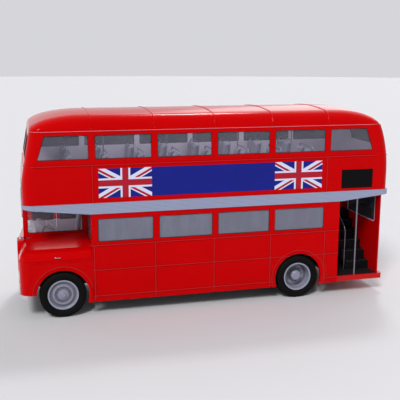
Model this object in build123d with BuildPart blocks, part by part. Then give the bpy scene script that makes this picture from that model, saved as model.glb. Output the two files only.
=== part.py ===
"""Half-cab double decker bus with an open rear platform.

Millimetres. +X forward, +Y to the nearside (left), +Z up.
The origin is on the ground, under the middle of the bus's bounding box.
"""

import os
from math import asin, cos, sin, sqrt

from build123d import *

os.makedirs("parts", exist_ok=True)

# Overall body
body_length = 8450.0
half_width = 1160.0
wall = 45.0
sheet_gap = 6.0
glass_inset = 18.0
glass_thickness = 8.0
corner_radius = 230.0
rear_corner = 150.0
beyond = 100.0
inner_y = half_width - wall

# Wheels
tyre_radius = 500.0
tyre_width = 250.0
tyre_inset = 20.0
rim_radius = 322.0
twin_gap = 40.0
kingpin_offset = 85.0
arch_clear = 55.0
flare_width = 160.0
flare_proud = 18.0
axle_z = tyre_radius
arch_radius = tyre_radius + arch_clear
tyre_outer_y = half_width - tyre_inset
front_mid_y = tyre_outer_y - tyre_width / 2
twin_mid_y = front_mid_y - tyre_width - twin_gap
kingpin_y = front_mid_y - kingpin_offset

# Places along the bus, from the nose back and from the rear forward
cowl_proud = 20.0
band_proud = 20.0
band_rear_proud = 40.0
front_setback = 123.0
cab_setback = 2.0
front_overhang = 885.0
wing_tail = 75.0
platform_length = 1195.0
wall_tail = 420.0
rear_setback = 115.0
platform_step = 80.0
nose_x = body_length / 2 - cowl_proud
rear_x = band_rear_proud - body_length / 2
front_x = nose_x - front_setback
cab_front_x = front_x - cab_setback
front_axle_x = nose_x - front_overhang
saloon_front_x = front_axle_x - arch_radius - wing_tail
platform_front_x = rear_x + platform_length
rear_axle_x = platform_front_x + arch_radius + wall_tail
lower_rear_x = rear_x + rear_setback
platform_rear_x = lower_rear_x - platform_step

# Heights, from the axles up
floor_rise = 190.0
floor_thickness = 50.0
skirt_drop = 385.0
platform_drop = 250.0
platform_depth = 120.0
wing_rise = 45.0
seam_rise = 60.0
lower_storey = 1780.0
deck_thickness = 50.0
lower_head_drop = 335.0
lower_window_height = 505.0
band_depth = 236.0
band_over = 7.0
upper_sill_rise = 933.0
upper_window_height = 503.0
cantrail_rise = 79.0
roof_rise = 370.0
floor_z = axle_z + floor_rise
skirt_z = floor_z - skirt_drop
platform_z = floor_z - platform_drop
wing_z = axle_z + wing_rise
bonnet_seam_z = axle_z + arch_radius + flare_width + seam_rise
deck_z = floor_z + lower_storey
lower_top_z = deck_z - deck_thickness
lower_head_z = deck_z - lower_head_drop
lower_sill_z = lower_head_z - lower_window_height
band_top_z = deck_z + band_over
band_bottom_z = band_top_z - band_depth
upper_sill_z = deck_z + upper_sill_rise
upper_head_z = upper_sill_z + upper_window_height
cantrail_z = upper_head_z + cantrail_rise
roof_z = cantrail_z + roof_rise
rail_depth = 120.0
rail_z = (floor_z - floor_thickness - rail_depth, floor_z - floor_thickness)

# Window bays between five pillars
bay_count = 4
front_pillar_back = 50.0
rear_pillar_ahead = 350.0
pillar_width = 125.0
lower_bay_shift = -25.0
window_radius = 35.0
first_pillar_x = saloon_front_x - front_pillar_back
bay_pitch = (first_pillar_x - platform_front_x - rear_pillar_ahead) / bay_count
pillars = [first_pillar_x - bay_pitch * i for i in range(bay_count + 1)]

# Half cab and bonnet
cab_wall_y = 90.0
cab_floor_drop = 145.0
cab_floor_thickness = 30.0
scuttle_rise = 285.0
bonnet_rise = 323.0
cab_sill_rise = 42.0
cab_head_drop = 120.0
bonnet_skin = 22.0
cab_floor_z = bonnet_seam_z - cab_floor_drop
scuttle_z = bonnet_seam_z + scuttle_rise
bonnet_top_z = bonnet_seam_z + bonnet_rise
cab_sill_z = bonnet_top_z + cab_sill_rise
cab_head_z = lower_top_z - cab_head_drop
cab_middle_y = (cab_wall_y - wall - inner_y) / 2

# Cab door and the hinges: along x for the bonnet, along y for the exit, upright for the door
along_x, along_y, upright = (0, 90, 0), (90, 0, 0), (0, 0, 0)
hinge_play = 0.05
ear_thickness = 16.0
door_post = 75.0
door_width = 535.0
door_head_gap = 5.0
door_x = (saloon_front_x + door_post, saloon_front_x + door_post + door_width)
door_z = (bonnet_seam_z + sheet_gap, band_bottom_z - door_head_gap)
door_hinge_margin = 117.0
door_hinge_x, door_hinge_y = door_x[1] - 3, -half_width - 13
door_hinge_z = (door_z[0] + door_hinge_margin, door_z[1] - door_hinge_margin)
door_pin, door_sleeve = 4.0, 7.0
bonnet_hinge_inset = 210.0
bonnet_hinge_span = 950.0
bonnet_hinge_x = [saloon_front_x + bonnet_hinge_inset + s for s in (0, bonnet_hinge_span)]
bonnet_hinge_y, bonnet_hinge_z = cab_wall_y + 18, bonnet_top_z + 14
bonnet_pin, bonnet_sleeve = 7.0, 12.0

# Mouldings
bead_radius = 20.0
upright_bead = 16.0
bead_sink = 8.0
waist_drop = 125.0
joint_gap = 1.0
waist_z = upper_sill_z - waist_drop


def write(piece, name):
    """Labels a finished piece and writes it as one STEP file."""
    piece.part.label = name
    export_step(piece.part, f"parts/{name}.step")


def block(x0, x1, y0, y1, z0, z1, mode=Mode.ADD):
    """A box between two corners, in the part being built."""
    with Locations(((x0 + x1) / 2, (y0 + y1) / 2, (z0 + z1) / 2)):
        Box(abs(x1 - x0), abs(y1 - y0), abs(z1 - z0), mode=mode)


def rod(at, turn, radius, length, mode=Mode.ADD):
    """A round bar about a point, turned from upright, in the part being built."""
    with Locations(Location(at, turn)):
        Cylinder(radius, length, mode=mode)


def side_window(x0, x1, z0, z1, y0, y1, mode):
    """A window-shaped prism across the bus, with rounded corners."""
    with BuildSketch(Plane.XZ.offset(-y1)) as pane:
        with Locations(((x0 + x1) / 2, (z0 + z1) / 2)):
            RectangleRounded(x1 - x0, z1 - z0, window_radius)
    extrude(pane.sketch, amount=y1 - y0, mode=mode)


def end_window(y0, y1, z0, z1, x0, x1, mode):
    """A window-shaped prism along the bus, with rounded corners."""
    with BuildSketch(Plane.YZ.offset(x0)) as pane:
        with Locations(((y0 + y1) / 2, (z0 + z1) / 2)):
            RectangleRounded(y1 - y0, z1 - z0, window_radius)
    extrude(pane.sketch, amount=x1 - x0, mode=mode)


def plan(z, x_front, x_rear, y_half, r_front, r_rear):
    """The bus's outline seen from above, as a sketch at height z."""
    with BuildSketch(Plane.XY.offset(z)) as outline:
        with Locations(((x_front + x_rear) / 2, 0)):
            Rectangle(x_front - x_rear, 2 * y_half)
        fillet(outline.vertices().group_by(Axis.X)[-1], r_front)
        fillet(outline.vertices().group_by(Axis.X)[0], r_rear)
    return outline.sketch


def bead_along(x0, x1, z, side):
    """A half-round moulding along a side wall."""
    rod(((x0 + x1) / 2, side * (half_width - bead_sink), z), along_x, bead_radius, x1 - x0)


def bead_up(x, z0, z1, side):
    """A half-round moulding up a side wall."""
    rod((x, side * (half_width - bead_sink), (z0 + z1) / 2), upright, upright_bead, z1 - z0)


# Upper deck form: the front stands up and then rakes back, the rear rounds over
rake = 0.19
rake_start = 488.0
rake_bend = 1500.0
rear_round = 2867.0
rear_round_start = 430.0
rake_z = deck_z + rake_start
rear_round_z = deck_z + rear_round_start


def front_face(z):
    """Where the front of the upper deck stands at a height."""
    return front_x - rake * max(z - rake_z, 0)


def rear_face(z):
    """Where the rear of the upper deck stands at a height."""
    rise = max(z - rear_round_z, 0)
    return rear_x + rear_round - sqrt(rear_round**2 - rise**2)


def upper_form(inset):
    """The upper deck's solid form between deck and cantrail, drawn in by inset."""
    half = half_width - inset
    middle_z = (rear_round_z + cantrail_z) / 2
    with BuildPart() as form:
        with BuildSketch(Plane.XZ.offset(-half)) as outline:
            with BuildLine():
                front = FilletPolyline(
                    (front_x - inset, deck_z), (front_x - inset, rake_z),
                    (front_face(cantrail_z) - inset, cantrail_z), radius=rake_bend,
                )
                rear = ThreePointArc(
                    (rear_face(cantrail_z) + inset, cantrail_z),
                    (rear_face(middle_z) + inset, middle_z),
                    (rear_x + inset, rear_round_z),
                )
                Line(front @ 1, rear @ 0)
                Polyline(rear @ 1, (rear_x + inset, deck_z), front @ 0)
            make_face()
        extrude(amount=2 * half)
        upright_edges = form.edges().filter_by(
            lambda edge: edge.bounding_box().size.Y < 1
            and edge.bounding_box().size.Z > edge.bounding_box().size.X
        )
        fillet(upright_edges.filter_by(lambda edge: edge.center().X > 0), corner_radius - inset)
        rear_edges = form.edges().filter_by(
            lambda edge: edge.bounding_box().size.Y < 1
            and edge.bounding_box().size.Z > edge.bounding_box().size.X
            and edge.center().X < 0
        )
        fillet(rear_edges, rear_corner - inset)
    return form.part


def waist_moulding():
    """A half-round moulding round the upper deck under its windows."""
    round_plan = plan(
        waist_z, front_face(waist_z) - bead_sink, rear_face(waist_z) + bead_sink,
        half_width - bead_sink, corner_radius - bead_sink, rear_corner - bead_sink,
    )
    path = round_plan.face().outer_wire()
    with BuildPart() as ring:
        with BuildSketch(Plane(origin=path @ 0, z_dir=path % 0)):
            Circle(bead_radius)
        sweep(path=path)
    return ring.part


# Roof: round shoulders under a shallow crown, domed at both ends, ribbed over the pillars
roof_wall = 38.0
crown_rise = 42.0
roof_corner = 200.0
roof_edge = 4.0
front_dome_radius = 1142.0
front_dome_setback = 657.0
brow_back = 22.0
brow_radius = 150.0
rear_dome_radius = 612.0
rib_width = 50.0
rib_height = 14.0
gutter_proud = 14.0
gutter_height = 22.0
gutter_end = 160.0
shoulder_radius = roof_rise - crown_rise
shoulder_y = half_width - shoulder_radius
crown_radius = (shoulder_y**2 + roof_rise**2 - shoulder_radius**2) / (2 * crown_rise)
front_dome_x = front_face(cantrail_z) - front_dome_setback
crest_z = roof_z + joint_gap
rear_dome_rise = cantrail_z - crest_z + rear_dome_radius
rear_dome_x = rear_face(cantrail_z) + sqrt(rear_dome_radius**2 - rear_dome_rise**2)


def roof_form(inset):
    """The roof's solid form above the cantrail, drawn in by inset."""
    top = crest_z - inset
    shoulder = shoulder_radius - inset
    crown_z = roof_z - crown_radius
    lean = asin(shoulder_y / (crown_radius - shoulder_radius))
    join_y, join_z = shoulder_y + shoulder * sin(lean), cantrail_z + shoulder * cos(lean)
    side_y, side_z = shoulder_y + shoulder * sqrt(0.5), cantrail_z + shoulder * sqrt(0.5)
    front_r, rear_r = front_dome_radius - inset, rear_dome_radius - inset
    front_z, rear_z = crest_z - front_dome_radius, crest_z - rear_dome_radius
    x_front = front_face(cantrail_z) - inset
    brow_x = x_front - brow_back
    brow_z = front_z + sqrt(front_r**2 - (brow_x - front_dome_x) ** 2)
    brow_turn = asin((brow_x - front_dome_x) / front_r) / 2
    x_rear = rear_dome_x - sqrt(rear_r**2 - (cantrail_z - rear_z) ** 2)
    rear_turn = asin((rear_dome_x - x_rear) / rear_r) / 2
    corner = roof_corner - inset
    with BuildPart() as form:
        with BuildSketch(Plane.YZ.offset(x_rear - beyond)):
            with BuildLine():
                Line((-shoulder_y - shoulder, cantrail_z), (shoulder_y + shoulder, cantrail_z))
                ThreePointArc((shoulder_y + shoulder, cantrail_z), (side_y, side_z), (join_y, join_z))
                ThreePointArc((join_y, join_z), (0, crown_z + crown_radius - inset), (-join_y, join_z))
                ThreePointArc((-join_y, join_z), (-side_y, side_z), (-shoulder_y - shoulder, cantrail_z))
            make_face()
        extrude(amount=x_front - x_rear + 2 * beyond)
        with BuildSketch(Plane.XZ.offset(-half_width - beyond)) as along:
            with BuildLine():
                Polyline((x_rear, cantrail_z), (x_front, cantrail_z), (brow_x, brow_z))
                ThreePointArc(
                    (brow_x, brow_z),
                    (front_dome_x + front_r * sin(brow_turn), front_z + front_r * cos(brow_turn)),
                    (front_dome_x, top),
                )
                Line((front_dome_x, top), (rear_dome_x, top))
                ThreePointArc(
                    (rear_dome_x, top),
                    (rear_dome_x - rear_r * sin(rear_turn), rear_z + rear_r * cos(rear_turn)),
                    (x_rear, cantrail_z),
                )
            make_face()
            fillet(along.vertices().sort_by_distance((brow_x, brow_z))[0], brow_radius - inset)
        extrude(amount=2 * (half_width + beyond), mode=Mode.INTERSECT)
        extrude(
            plan(
                cantrail_z - joint_gap, x_front + roof_edge / 2, x_rear - roof_edge / 2,
                half_width - inset + roof_edge, corner, corner,
            ),
            amount=roof_z,
            mode=Mode.INTERSECT,
        )
    return form.part


ribbed_form = roof_form(-rib_height)
with BuildPart() as ribs:
    for x in pillars:
        block(
            x - rib_width / 2, x + rib_width / 2, -2 * half_width, 2 * half_width,
            cantrail_z, roof_z + beyond,
        )
    add(ribbed_form, mode=Mode.INTERSECT)

outer_roof, inner_roof = roof_form(0), roof_form(roof_wall)
with BuildPart() as roof:
    add(outer_roof)
    add(ribs.part)
    for side in (1, -1):
        block(
            rear_dome_x - gutter_end, front_dome_x + gutter_end, side * (half_width - wall / 2),
            side * (half_width + gutter_proud), cantrail_z, cantrail_z + gutter_height,
        )
    add(inner_roof, mode=Mode.SUBTRACT)
write(roof, "roof")

# Upper deck windows: columns x0, x1 at the sill, then x0, x1 at the head
front_light_back = 332.0
front_light_rake = 150.0
rear_light_ahead = 428.0
rear_light_rake = 177.0
front_light_x = front_x - front_light_back
rear_light_x = rear_x + rear_light_ahead
half_pillar = pillar_width / 2
upper_bays = [
    (pillars[0] + half_pillar, front_light_x, pillars[0] + half_pillar, front_light_x - front_light_rake),
    *[(pillars[i + 1] + half_pillar, pillars[i] - half_pillar) * 2 for i in range(bay_count)],
    (rear_light_x, pillars[-1] - half_pillar, rear_light_x + rear_light_rake, pillars[-1] - half_pillar),
]
front_pane_inner = 70.0
front_pane_outer = 200.0
front_pane_sill = 20.0
front_pane_head = 10.0
front_pane_y = (front_pane_inner, half_width - front_pane_outer)
exit_margin = 460.0
exit_head_drop = 46.0
exit_half_width = half_width - exit_margin
exit_head_z = upper_head_z - exit_head_drop
front_split = 282.0
rear_split = 355.0
front_split_x = front_x - front_split
rear_split_x = rear_x + rear_split


def upper_window_prisms():
    """Prisms that cut every fixed upper deck window."""
    with BuildPart() as prisms:
        for low0, low1, high0, high1 in upper_bays:
            with BuildSketch(Plane.XZ.offset(-2 * half_width)) as pane:
                with BuildLine():
                    FilletPolyline(
                        (low0, upper_sill_z), (low1, upper_sill_z),
                        (high1, upper_head_z), (high0, upper_head_z),
                        radius=window_radius, close=True,
                    )
                make_face()
            extrude(pane.sketch, amount=4 * half_width)
        for side in (1, -1):
            y0, y1 = sorted(side * y for y in front_pane_y)
            end_window(
                y0, y1, upper_sill_z + front_pane_sill, upper_head_z - front_pane_head,
                front_split_x, front_x + beyond, Mode.ADD,
            )
    return prisms.part


window_prisms = upper_window_prisms()
moulding = waist_moulding()
outer_form, inner_form = upper_form(0), upper_form(wall)
glass_outer, glass_inner = upper_form(glass_inset), upper_form(glass_inset + glass_thickness)
with BuildPart() as upper_shell:
    add(outer_form)
    add(moulding)
    for side in (1, -1):
        for x in (pillars[0], pillars[-1]):
            bead_up(x, band_top_z, waist_z, side)
    add(inner_form, mode=Mode.SUBTRACT)
    add(window_prisms, mode=Mode.SUBTRACT)

for name, side in (("upper_nearside_wall", 1), ("upper_offside_wall", -1)):
    with BuildPart() as upper_wall:
        add(upper_shell.part)
        block(
            rear_split_x, front_split_x, 0, side * 2 * half_width, deck_z, cantrail_z,
            mode=Mode.INTERSECT,
        )
    write(upper_wall, name)

with BuildPart() as upper_front:
    add(upper_shell.part)
    block(
        front_split_x, front_x + beyond, -2 * half_width, 2 * half_width, deck_z, cantrail_z,
        mode=Mode.INTERSECT,
    )
write(upper_front, "upper_front_wall")

# Emergency exit window at the back of the upper deck, hinged along its top edge
exit_hinge_rise = 5.2
exit_hinge_out = 18.5
exit_hinge_inset = 270.0
exit_pin, exit_sleeve = 5.0, 9.0
exit_pin_length = 72.0
exit_ear_offset = 28.0
exit_ear_x, exit_ear_z = (-6.0, 34.0), (-3.0, 20.0)
exit_lug_x, exit_lug_drop = (-8.0, 16.0), 35.0
exit_lug_width = 28.0
sash_width = 60.0
sash_inset = 2.0
exit_hinge_z = exit_head_z + exit_hinge_rise
exit_hinge_x = rear_face(exit_hinge_z) - exit_hinge_out
exit_hinge_y = [side * (exit_half_width - exit_hinge_inset) for side in (-1, 1)]

with BuildPart() as upper_rear:
    add(upper_shell.part)
    block(
        rear_x - beyond, rear_split_x, -2 * half_width, 2 * half_width, deck_z, cantrail_z,
        mode=Mode.INTERSECT,
    )
    end_window(
        -exit_half_width, exit_half_width, upper_sill_z, exit_head_z,
        rear_x - beyond, rear_split_x - joint_gap, Mode.SUBTRACT,
    )
    for y in exit_hinge_y:
        for ear in (y - exit_ear_offset, y + exit_ear_offset):
            block(
                *[exit_hinge_x + x for x in exit_ear_x], ear - ear_thickness / 2, ear + ear_thickness / 2,
                *[exit_hinge_z + z for z in exit_ear_z],
            )
        rod((exit_hinge_x, y, exit_hinge_z), along_y, exit_pin, exit_pin_length)
write(upper_rear, "upper_rear_wall")

with BuildPart() as upper_glass:
    add(glass_outer)
    add(glass_inner, mode=Mode.SUBTRACT)
    add(window_prisms, mode=Mode.INTERSECT)
write(upper_glass, "upper_glass")

sash_y = exit_half_width - sheet_gap
sash_z = (upper_sill_z + sheet_gap, exit_head_z - sheet_gap)
sash_outer, sash_inner = upper_form(sash_inset), upper_form(wall - sash_inset)
pane_z = (sash_z[0] + sash_width, sash_z[1] - sash_width)
with BuildPart() as exit_sash:
    add(sash_outer)
    add(sash_inner, mode=Mode.SUBTRACT)
    end_window(-sash_y, sash_y, *sash_z, rear_x - beyond, rear_split_x, Mode.INTERSECT)
    end_window(
        sash_width - sash_y, sash_y - sash_width, *pane_z, rear_x - beyond, rear_split_x + joint_gap,
        Mode.SUBTRACT,
    )
    for y in exit_hinge_y:
        block(
            *[exit_hinge_x + x for x in exit_lug_x], y - exit_lug_width / 2, y + exit_lug_width / 2,
            exit_hinge_z - exit_lug_drop, exit_hinge_z,
        )
        rod((exit_hinge_x, y, exit_hinge_z), along_y, exit_sleeve, exit_lug_width)
        rod(
            (exit_hinge_x, y, exit_hinge_z), along_y, exit_pin + hinge_play, 2 * exit_lug_width,
            Mode.SUBTRACT,
        )
write(exit_sash, "emergency_sash")

with BuildPart() as exit_glass:
    add(glass_outer)
    add(glass_inner, mode=Mode.SUBTRACT)
    end_window(
        sash_width - sash_y, sash_y - sash_width, *pane_z, rear_x - beyond, rear_split_x,
        Mode.INTERSECT,
    )
write(exit_glass, "emergency_glass")

# Staircase: one flight along the rear wall, a quarter landing, one flight forward
stair_width_x = 600.0
flight_width = 435.0
rear_flight_steps = 6
rear_riser = 200.0
rear_tread = 230.0
forward_steps = 4
forward_tread = 230.0
tread_depth = 45.0
stairwell_margin = 40.0
stair_rear_x = lower_rear_x + wall
stair_inner_y = flight_width - inner_y
rear_flight_y = stair_inner_y + rear_tread * rear_flight_steps
landing_z = platform_z + rear_riser * rear_flight_steps
forward_riser = (deck_z - landing_z) / forward_steps
flight_front_x = stair_rear_x + stair_width_x
stair_top_x = flight_front_x + forward_tread * (forward_steps - 1)

# Upper deck floor, open over the stairs
with BuildPart() as deck:
    extrude(
        plan(lower_top_z, front_x, rear_x, half_width, corner_radius, rear_corner),
        amount=deck_thickness,
    )
    block(
        stair_rear_x, stair_top_x, -inner_y, stair_inner_y + stairwell_margin,
        lower_top_z - deck_thickness, deck_z + deck_thickness, mode=Mode.SUBTRACT,
    )
write(deck, "upper_deck_floor")


def lower_bay(i):
    """Ends of the lower deck's window number i, along the bus."""
    x0 = pillars[i + 1] + lower_bay_shift + half_pillar
    x1 = pillars[i] + lower_bay_shift - half_pillar
    return x0, x1


def wheel_arch(axle_x, side, mode):
    """The round wheel opening through a side wall."""
    rod((axle_x, side * (half_width - wall / 2), axle_z), along_y, arch_radius, 4 * wall, mode)


def arch_flare(axle_x, side):
    """The raised lip round a wheel arch, swelling from the panel to its edge and back."""
    face = side * half_width
    crest = arch_radius + flare_width / 2
    with BuildPart() as lip:
        with BuildSketch(Plane.XY):
            with BuildLine():
                ThreePointArc(
                    (arch_radius - joint_gap, face), (crest, face + side * flare_proud),
                    (arch_radius + flare_width, face),
                )
                Polyline(
                    (arch_radius + flare_width, face), (arch_radius + flare_width, face - side * joint_gap),
                    (arch_radius - joint_gap, face - side * joint_gap), (arch_radius - joint_gap, face),
                )
            make_face()
        revolve(axis=Axis.Y)
    return lip.part.moved(Location((axle_x, 0, axle_z)))


# Lower side walls; the beads run along at three heights and up at each pillar
waist_bead_drop = 77.0
middle_bead_rise = 511.0
skirt_bead_rise = 127.0
lower_beads = [lower_sill_z - waist_bead_drop, axle_z + middle_bead_rise, skirt_z + skirt_bead_rise]
for name, side, rear_end in (
    ("lower_nearside_wall", 1, platform_front_x),
    ("lower_offside_wall", -1, lower_rear_x + wall),
):
    rear_flare = arch_flare(rear_axle_x, side)
    with BuildPart() as lower_wall:
        block(rear_end, saloon_front_x, side * inner_y, side * half_width, skirt_z, lower_top_z)
        for z in lower_beads:
            bead_along(rear_end, saloon_front_x, z, side)
        for x in pillars:
            bead_up(x, skirt_z, lower_beads[0], side)
        add(rear_flare)
        block(
            rear_end, saloon_front_x, side * (inner_y - wall), side * 2 * half_width,
            skirt_z - 2 * arch_radius, skirt_z, mode=Mode.SUBTRACT,
        )
        wheel_arch(rear_axle_x, side, Mode.SUBTRACT)
        for i in range(bay_count):
            side_window(
                *lower_bay(i), lower_sill_z, lower_head_z, -2 * half_width, 2 * half_width, Mode.SUBTRACT
            )
    write(lower_wall, name)

# Bulkheads across the lower deck
front_bulkhead_x = saloon_front_x - wall
light_margin = 105.0
light_head_drop = 170.0
light_y = (
    (light_margin - inner_y, cab_wall_y - light_margin),
    (cab_wall_y + light_margin, inner_y - light_margin),
)
light_z = (cab_sill_z, lower_top_z - light_head_drop)
with BuildPart() as bulkhead:
    block(front_bulkhead_x, saloon_front_x, -inner_y, inner_y, floor_z - floor_thickness, lower_top_z)
    for y0, y1 in light_y:
        end_window(
            y0, y1, *light_z, front_bulkhead_x - beyond, saloon_front_x + beyond, Mode.SUBTRACT
        )
write(bulkhead, "front_bulkhead")

doorway_offside = 830.0
doorway_nearside = 680.0
partition_margin = 90.0
stair_headroom = 460.0
doorway = (doorway_offside - half_width, half_width - doorway_nearside)
partition_light_y = (doorway[1] + partition_margin, inner_y - partition_margin)
with BuildPart() as partition:
    block(platform_front_x, platform_front_x + wall, doorway[1], inner_y, floor_z, lower_top_z)
    block(
        platform_front_x, platform_front_x + wall, -inner_y, doorway[0], floor_z,
        lower_top_z - stair_headroom,
    )
    end_window(
        *partition_light_y, lower_sill_z, lower_head_z,
        platform_front_x - beyond, platform_front_x + wall + beyond, Mode.SUBTRACT,
    )
write(partition, "platform_bulkhead")

rear_light_margin = (630.0, 270.0)
rear_light_head_drop = 170.0
rear_light_height = 610.0
rear_edge_radius = 40.0
rear_window_y = (rear_light_margin[0] - half_width, half_width - rear_light_margin[1])
rear_window_z = (
    lower_top_z - rear_light_head_drop - rear_light_height, lower_top_z - rear_light_head_drop,
)
with BuildPart() as lower_rear:
    block(lower_rear_x, lower_rear_x + wall, -half_width, inner_y, platform_z, lower_top_z)
    fillet(lower_rear.edges().filter_by(Axis.Z).group_by(Axis.X)[0], rear_edge_radius)
    end_window(
        *rear_window_y, *rear_window_z, lower_rear_x - beyond, lower_rear_x + wall + beyond,
        Mode.SUBTRACT,
    )
write(lower_rear, "lower_rear_wall")

# Lower deck floor, with boxes over the rear wheels
wheel_box_clear = 60.0
wheel_box_end = 25.0
wheel_box_side = 40.0
box_skin = 15.0
wheel_box_top_z = 2 * tyre_radius + wheel_box_clear
wheel_box_y = twin_mid_y - tyre_width / 2 - wheel_box_side
wheel_box_half = arch_radius + wheel_box_end
with BuildPart() as floor:
    block(platform_front_x, front_bulkhead_x, -inner_y, inner_y, floor_z - floor_thickness, floor_z)
    for side in (1, -1):
        block(
            rear_axle_x - wheel_box_half, rear_axle_x + wheel_box_half,
            side * wheel_box_y, side * inner_y, floor_z - floor_thickness, wheel_box_top_z,
        )
        block(
            rear_axle_x - wheel_box_half + box_skin, rear_axle_x + wheel_box_half - box_skin,
            side * (wheel_box_y + box_skin), side * half_width,
            floor_z - 2 * floor_thickness, wheel_box_top_z - box_skin, mode=Mode.SUBTRACT,
        )
write(floor, "lower_deck_floor")

platform_corner = 60.0
platform_riser = 20.0
with BuildPart() as platform:
    block(
        platform_rear_x, platform_front_x, -inner_y, half_width,
        platform_z - platform_depth, platform_z,
    )
    fillet(
        platform.edges().filter_by(Axis.Z).group_by(Axis.X)[0].sort_by(Axis.Y)[-1], platform_corner
    )
    block(
        lower_rear_x, lower_rear_x + wall, -half_width, -inner_y, platform_z - platform_depth,
        platform_z,
    )
    block(platform_front_x - platform_riser, platform_front_x, -inner_y, inner_y, platform_z, floor_z)
write(platform, "rear_platform")

# Stairs
with BuildPart() as stairs:
    with BuildSketch(Plane.YZ.offset(stair_rear_x)):
        with BuildLine():
            treads = [(rear_flight_y, platform_z)]
            for i in range(rear_flight_steps):
                y, z = rear_flight_y - i * rear_tread, platform_z + (i + 1) * rear_riser
                treads += [(y, z), (y - rear_tread, z)]
            treads += [
                (stair_inner_y, landing_z - tread_depth - rear_riser),
                (rear_flight_y - rear_tread / 2, platform_z),
            ]
            Polyline(*treads, close=True)
        make_face()
    extrude(amount=stair_width_x)
    block(stair_rear_x, flight_front_x, -inner_y, stair_inner_y, landing_z - tread_depth, landing_z)
    with BuildSketch(Plane.XZ.offset(-stair_inner_y)):
        with BuildLine():
            treads = [(flight_front_x, landing_z - tread_depth)]
            for i in range(forward_steps - 1):
                x, z = flight_front_x + i * forward_tread, landing_z + (i + 1) * forward_riser
                treads += [(x, z), (x + forward_tread, z)]
            treads += [(stair_top_x, deck_z - forward_riser - tread_depth)]
            Polyline(*treads, close=True)
        make_face()
    extrude(amount=flight_width)
write(stairs, "staircase")

# Grab pole by the open corner and a grab rail by the doorway
pole_radius = 19.0
pole_ahead = 735.0
pole_inset = 55.0
grab_radius = 16.0
grab_stem = 12.0
grab_length = 900.0
grab_out = 60.0
grab_z = floor_z + grab_length
stem_offset = 305.0
with BuildPart() as pole:
    rod(
        (rear_x + pole_ahead, half_width - pole_inset, (platform_z + lower_top_z) / 2), upright,
        pole_radius, lower_top_z - platform_z,
    )
    rod(
        (platform_front_x - grab_out, doorway[0] - grab_out, grab_z), upright, grab_radius, grab_length
    )
    for z in (grab_z - stem_offset, grab_z + stem_offset):
        rod(
            (platform_front_x - grab_out / 2, doorway[0] - grab_out, z), along_x, grab_stem, grab_out
        )
write(pole, "platform_pole")

# Band between the decks, in four strips; its lower edge rises to both ends
band_front_rise = 153.0
band_rear_rise = 122.0
band_front_z, band_rear_z = band_bottom_z + band_front_rise, band_bottom_z + band_rear_rise
with BuildPart() as band:
    extrude(
        plan(
            band_bottom_z, front_x + band_proud, rear_x - band_rear_proud,
            half_width + band_proud, corner_radius + band_proud, rear_corner + band_proud,
        ),
        amount=band_depth,
    )
    extrude(
        plan(band_bottom_z, front_x, rear_x, half_width, corner_radius, rear_corner),
        amount=band_depth, mode=Mode.SUBTRACT,
    )
    with BuildSketch(Plane.XZ.offset(-2 * half_width)):
        with BuildLine():
            Polyline(
                (saloon_front_x, band_bottom_z - joint_gap), (front_x + beyond, band_bottom_z - joint_gap),
                (front_x + beyond, band_front_z), (front_x, band_front_z), close=True,
            )
        make_face()
        with BuildLine():
            Polyline(
                (platform_front_x, band_bottom_z - joint_gap), (rear_x - beyond, band_bottom_z - joint_gap),
                (rear_x - beyond, band_rear_z), (rear_x, band_rear_z), close=True,
            )
        make_face()
    extrude(amount=4 * half_width, mode=Mode.SUBTRACT)
    for x in (front_x - corner_radius, rear_x + rear_corner):
        block(
            x - joint_gap / 2, x + joint_gap / 2, -2 * half_width, 2 * half_width, 0, roof_z,
            mode=Mode.SUBTRACT,
        )
write(band, "deck_band")

# Front wings: one ring round the nose, with both wheel openings and the radiator opening
cowl_centre_y = 170.0
cowl_half_width = 280.0
cowl_rise = 110.0
cowl_over = 275.0
cowl_depth = 165.0
cowl_frame = 42.0
cowl_corner = 150.0
cowl_foot = 40.0
cowl_edge = 25.0
rail_inset = 510.0
rail_width = 80.0
lamp_margin = 360.0
lamp_rise = 380.0
lamp_radius = 112.0
lamp_recess = 16.0
seam_bead_drop = 20.0
sharp_corner = 10.0
mudguard_clear = 20.0
mudguard_skin = 8.0
mudguard_reach = 370.0
mudguard_plate_rise = 150.0
cowl_y = (cowl_centre_y - cowl_half_width, cowl_centre_y + cowl_half_width)
cowl_z = (axle_z + cowl_rise, bonnet_seam_z + cowl_over)
cowl_front_x = nose_x + cowl_proud
cowl_back_x = cowl_front_x - cowl_depth
lamp_y, lamp_z = half_width - lamp_margin, axle_z + lamp_rise
rail_y = kingpin_y - rail_inset
mudguard_radius = arch_radius + mudguard_clear
mudguard_y = kingpin_y - mudguard_reach


def mudguard(side):
    """The inner guard over a front wheel: a half drum closed on its inner side."""
    with BuildPart() as drum:
        rod(
            (front_axle_x, side * (mudguard_y + inner_y) / 2, axle_z), along_y,
            mudguard_radius + mudguard_skin, inner_y - mudguard_y + joint_gap,
        )
        rod(
            (front_axle_x, side * (mudguard_y + mudguard_skin + inner_y), axle_z), along_y,
            mudguard_radius, 2 * inner_y, Mode.SUBTRACT,
        )
        block(
            front_axle_x - 2 * arch_radius, front_axle_x + 2 * arch_radius,
            -2 * half_width, 2 * half_width, axle_z - 2 * arch_radius, wing_z, mode=Mode.SUBTRACT,
        )
        block(
            front_axle_x - 2 * arch_radius, front_axle_x + 2 * arch_radius,
            0, side * (mudguard_y + mudguard_skin), wing_z, axle_z + mudguard_plate_rise,
            mode=Mode.SUBTRACT,
        )
    return drum.part


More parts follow.
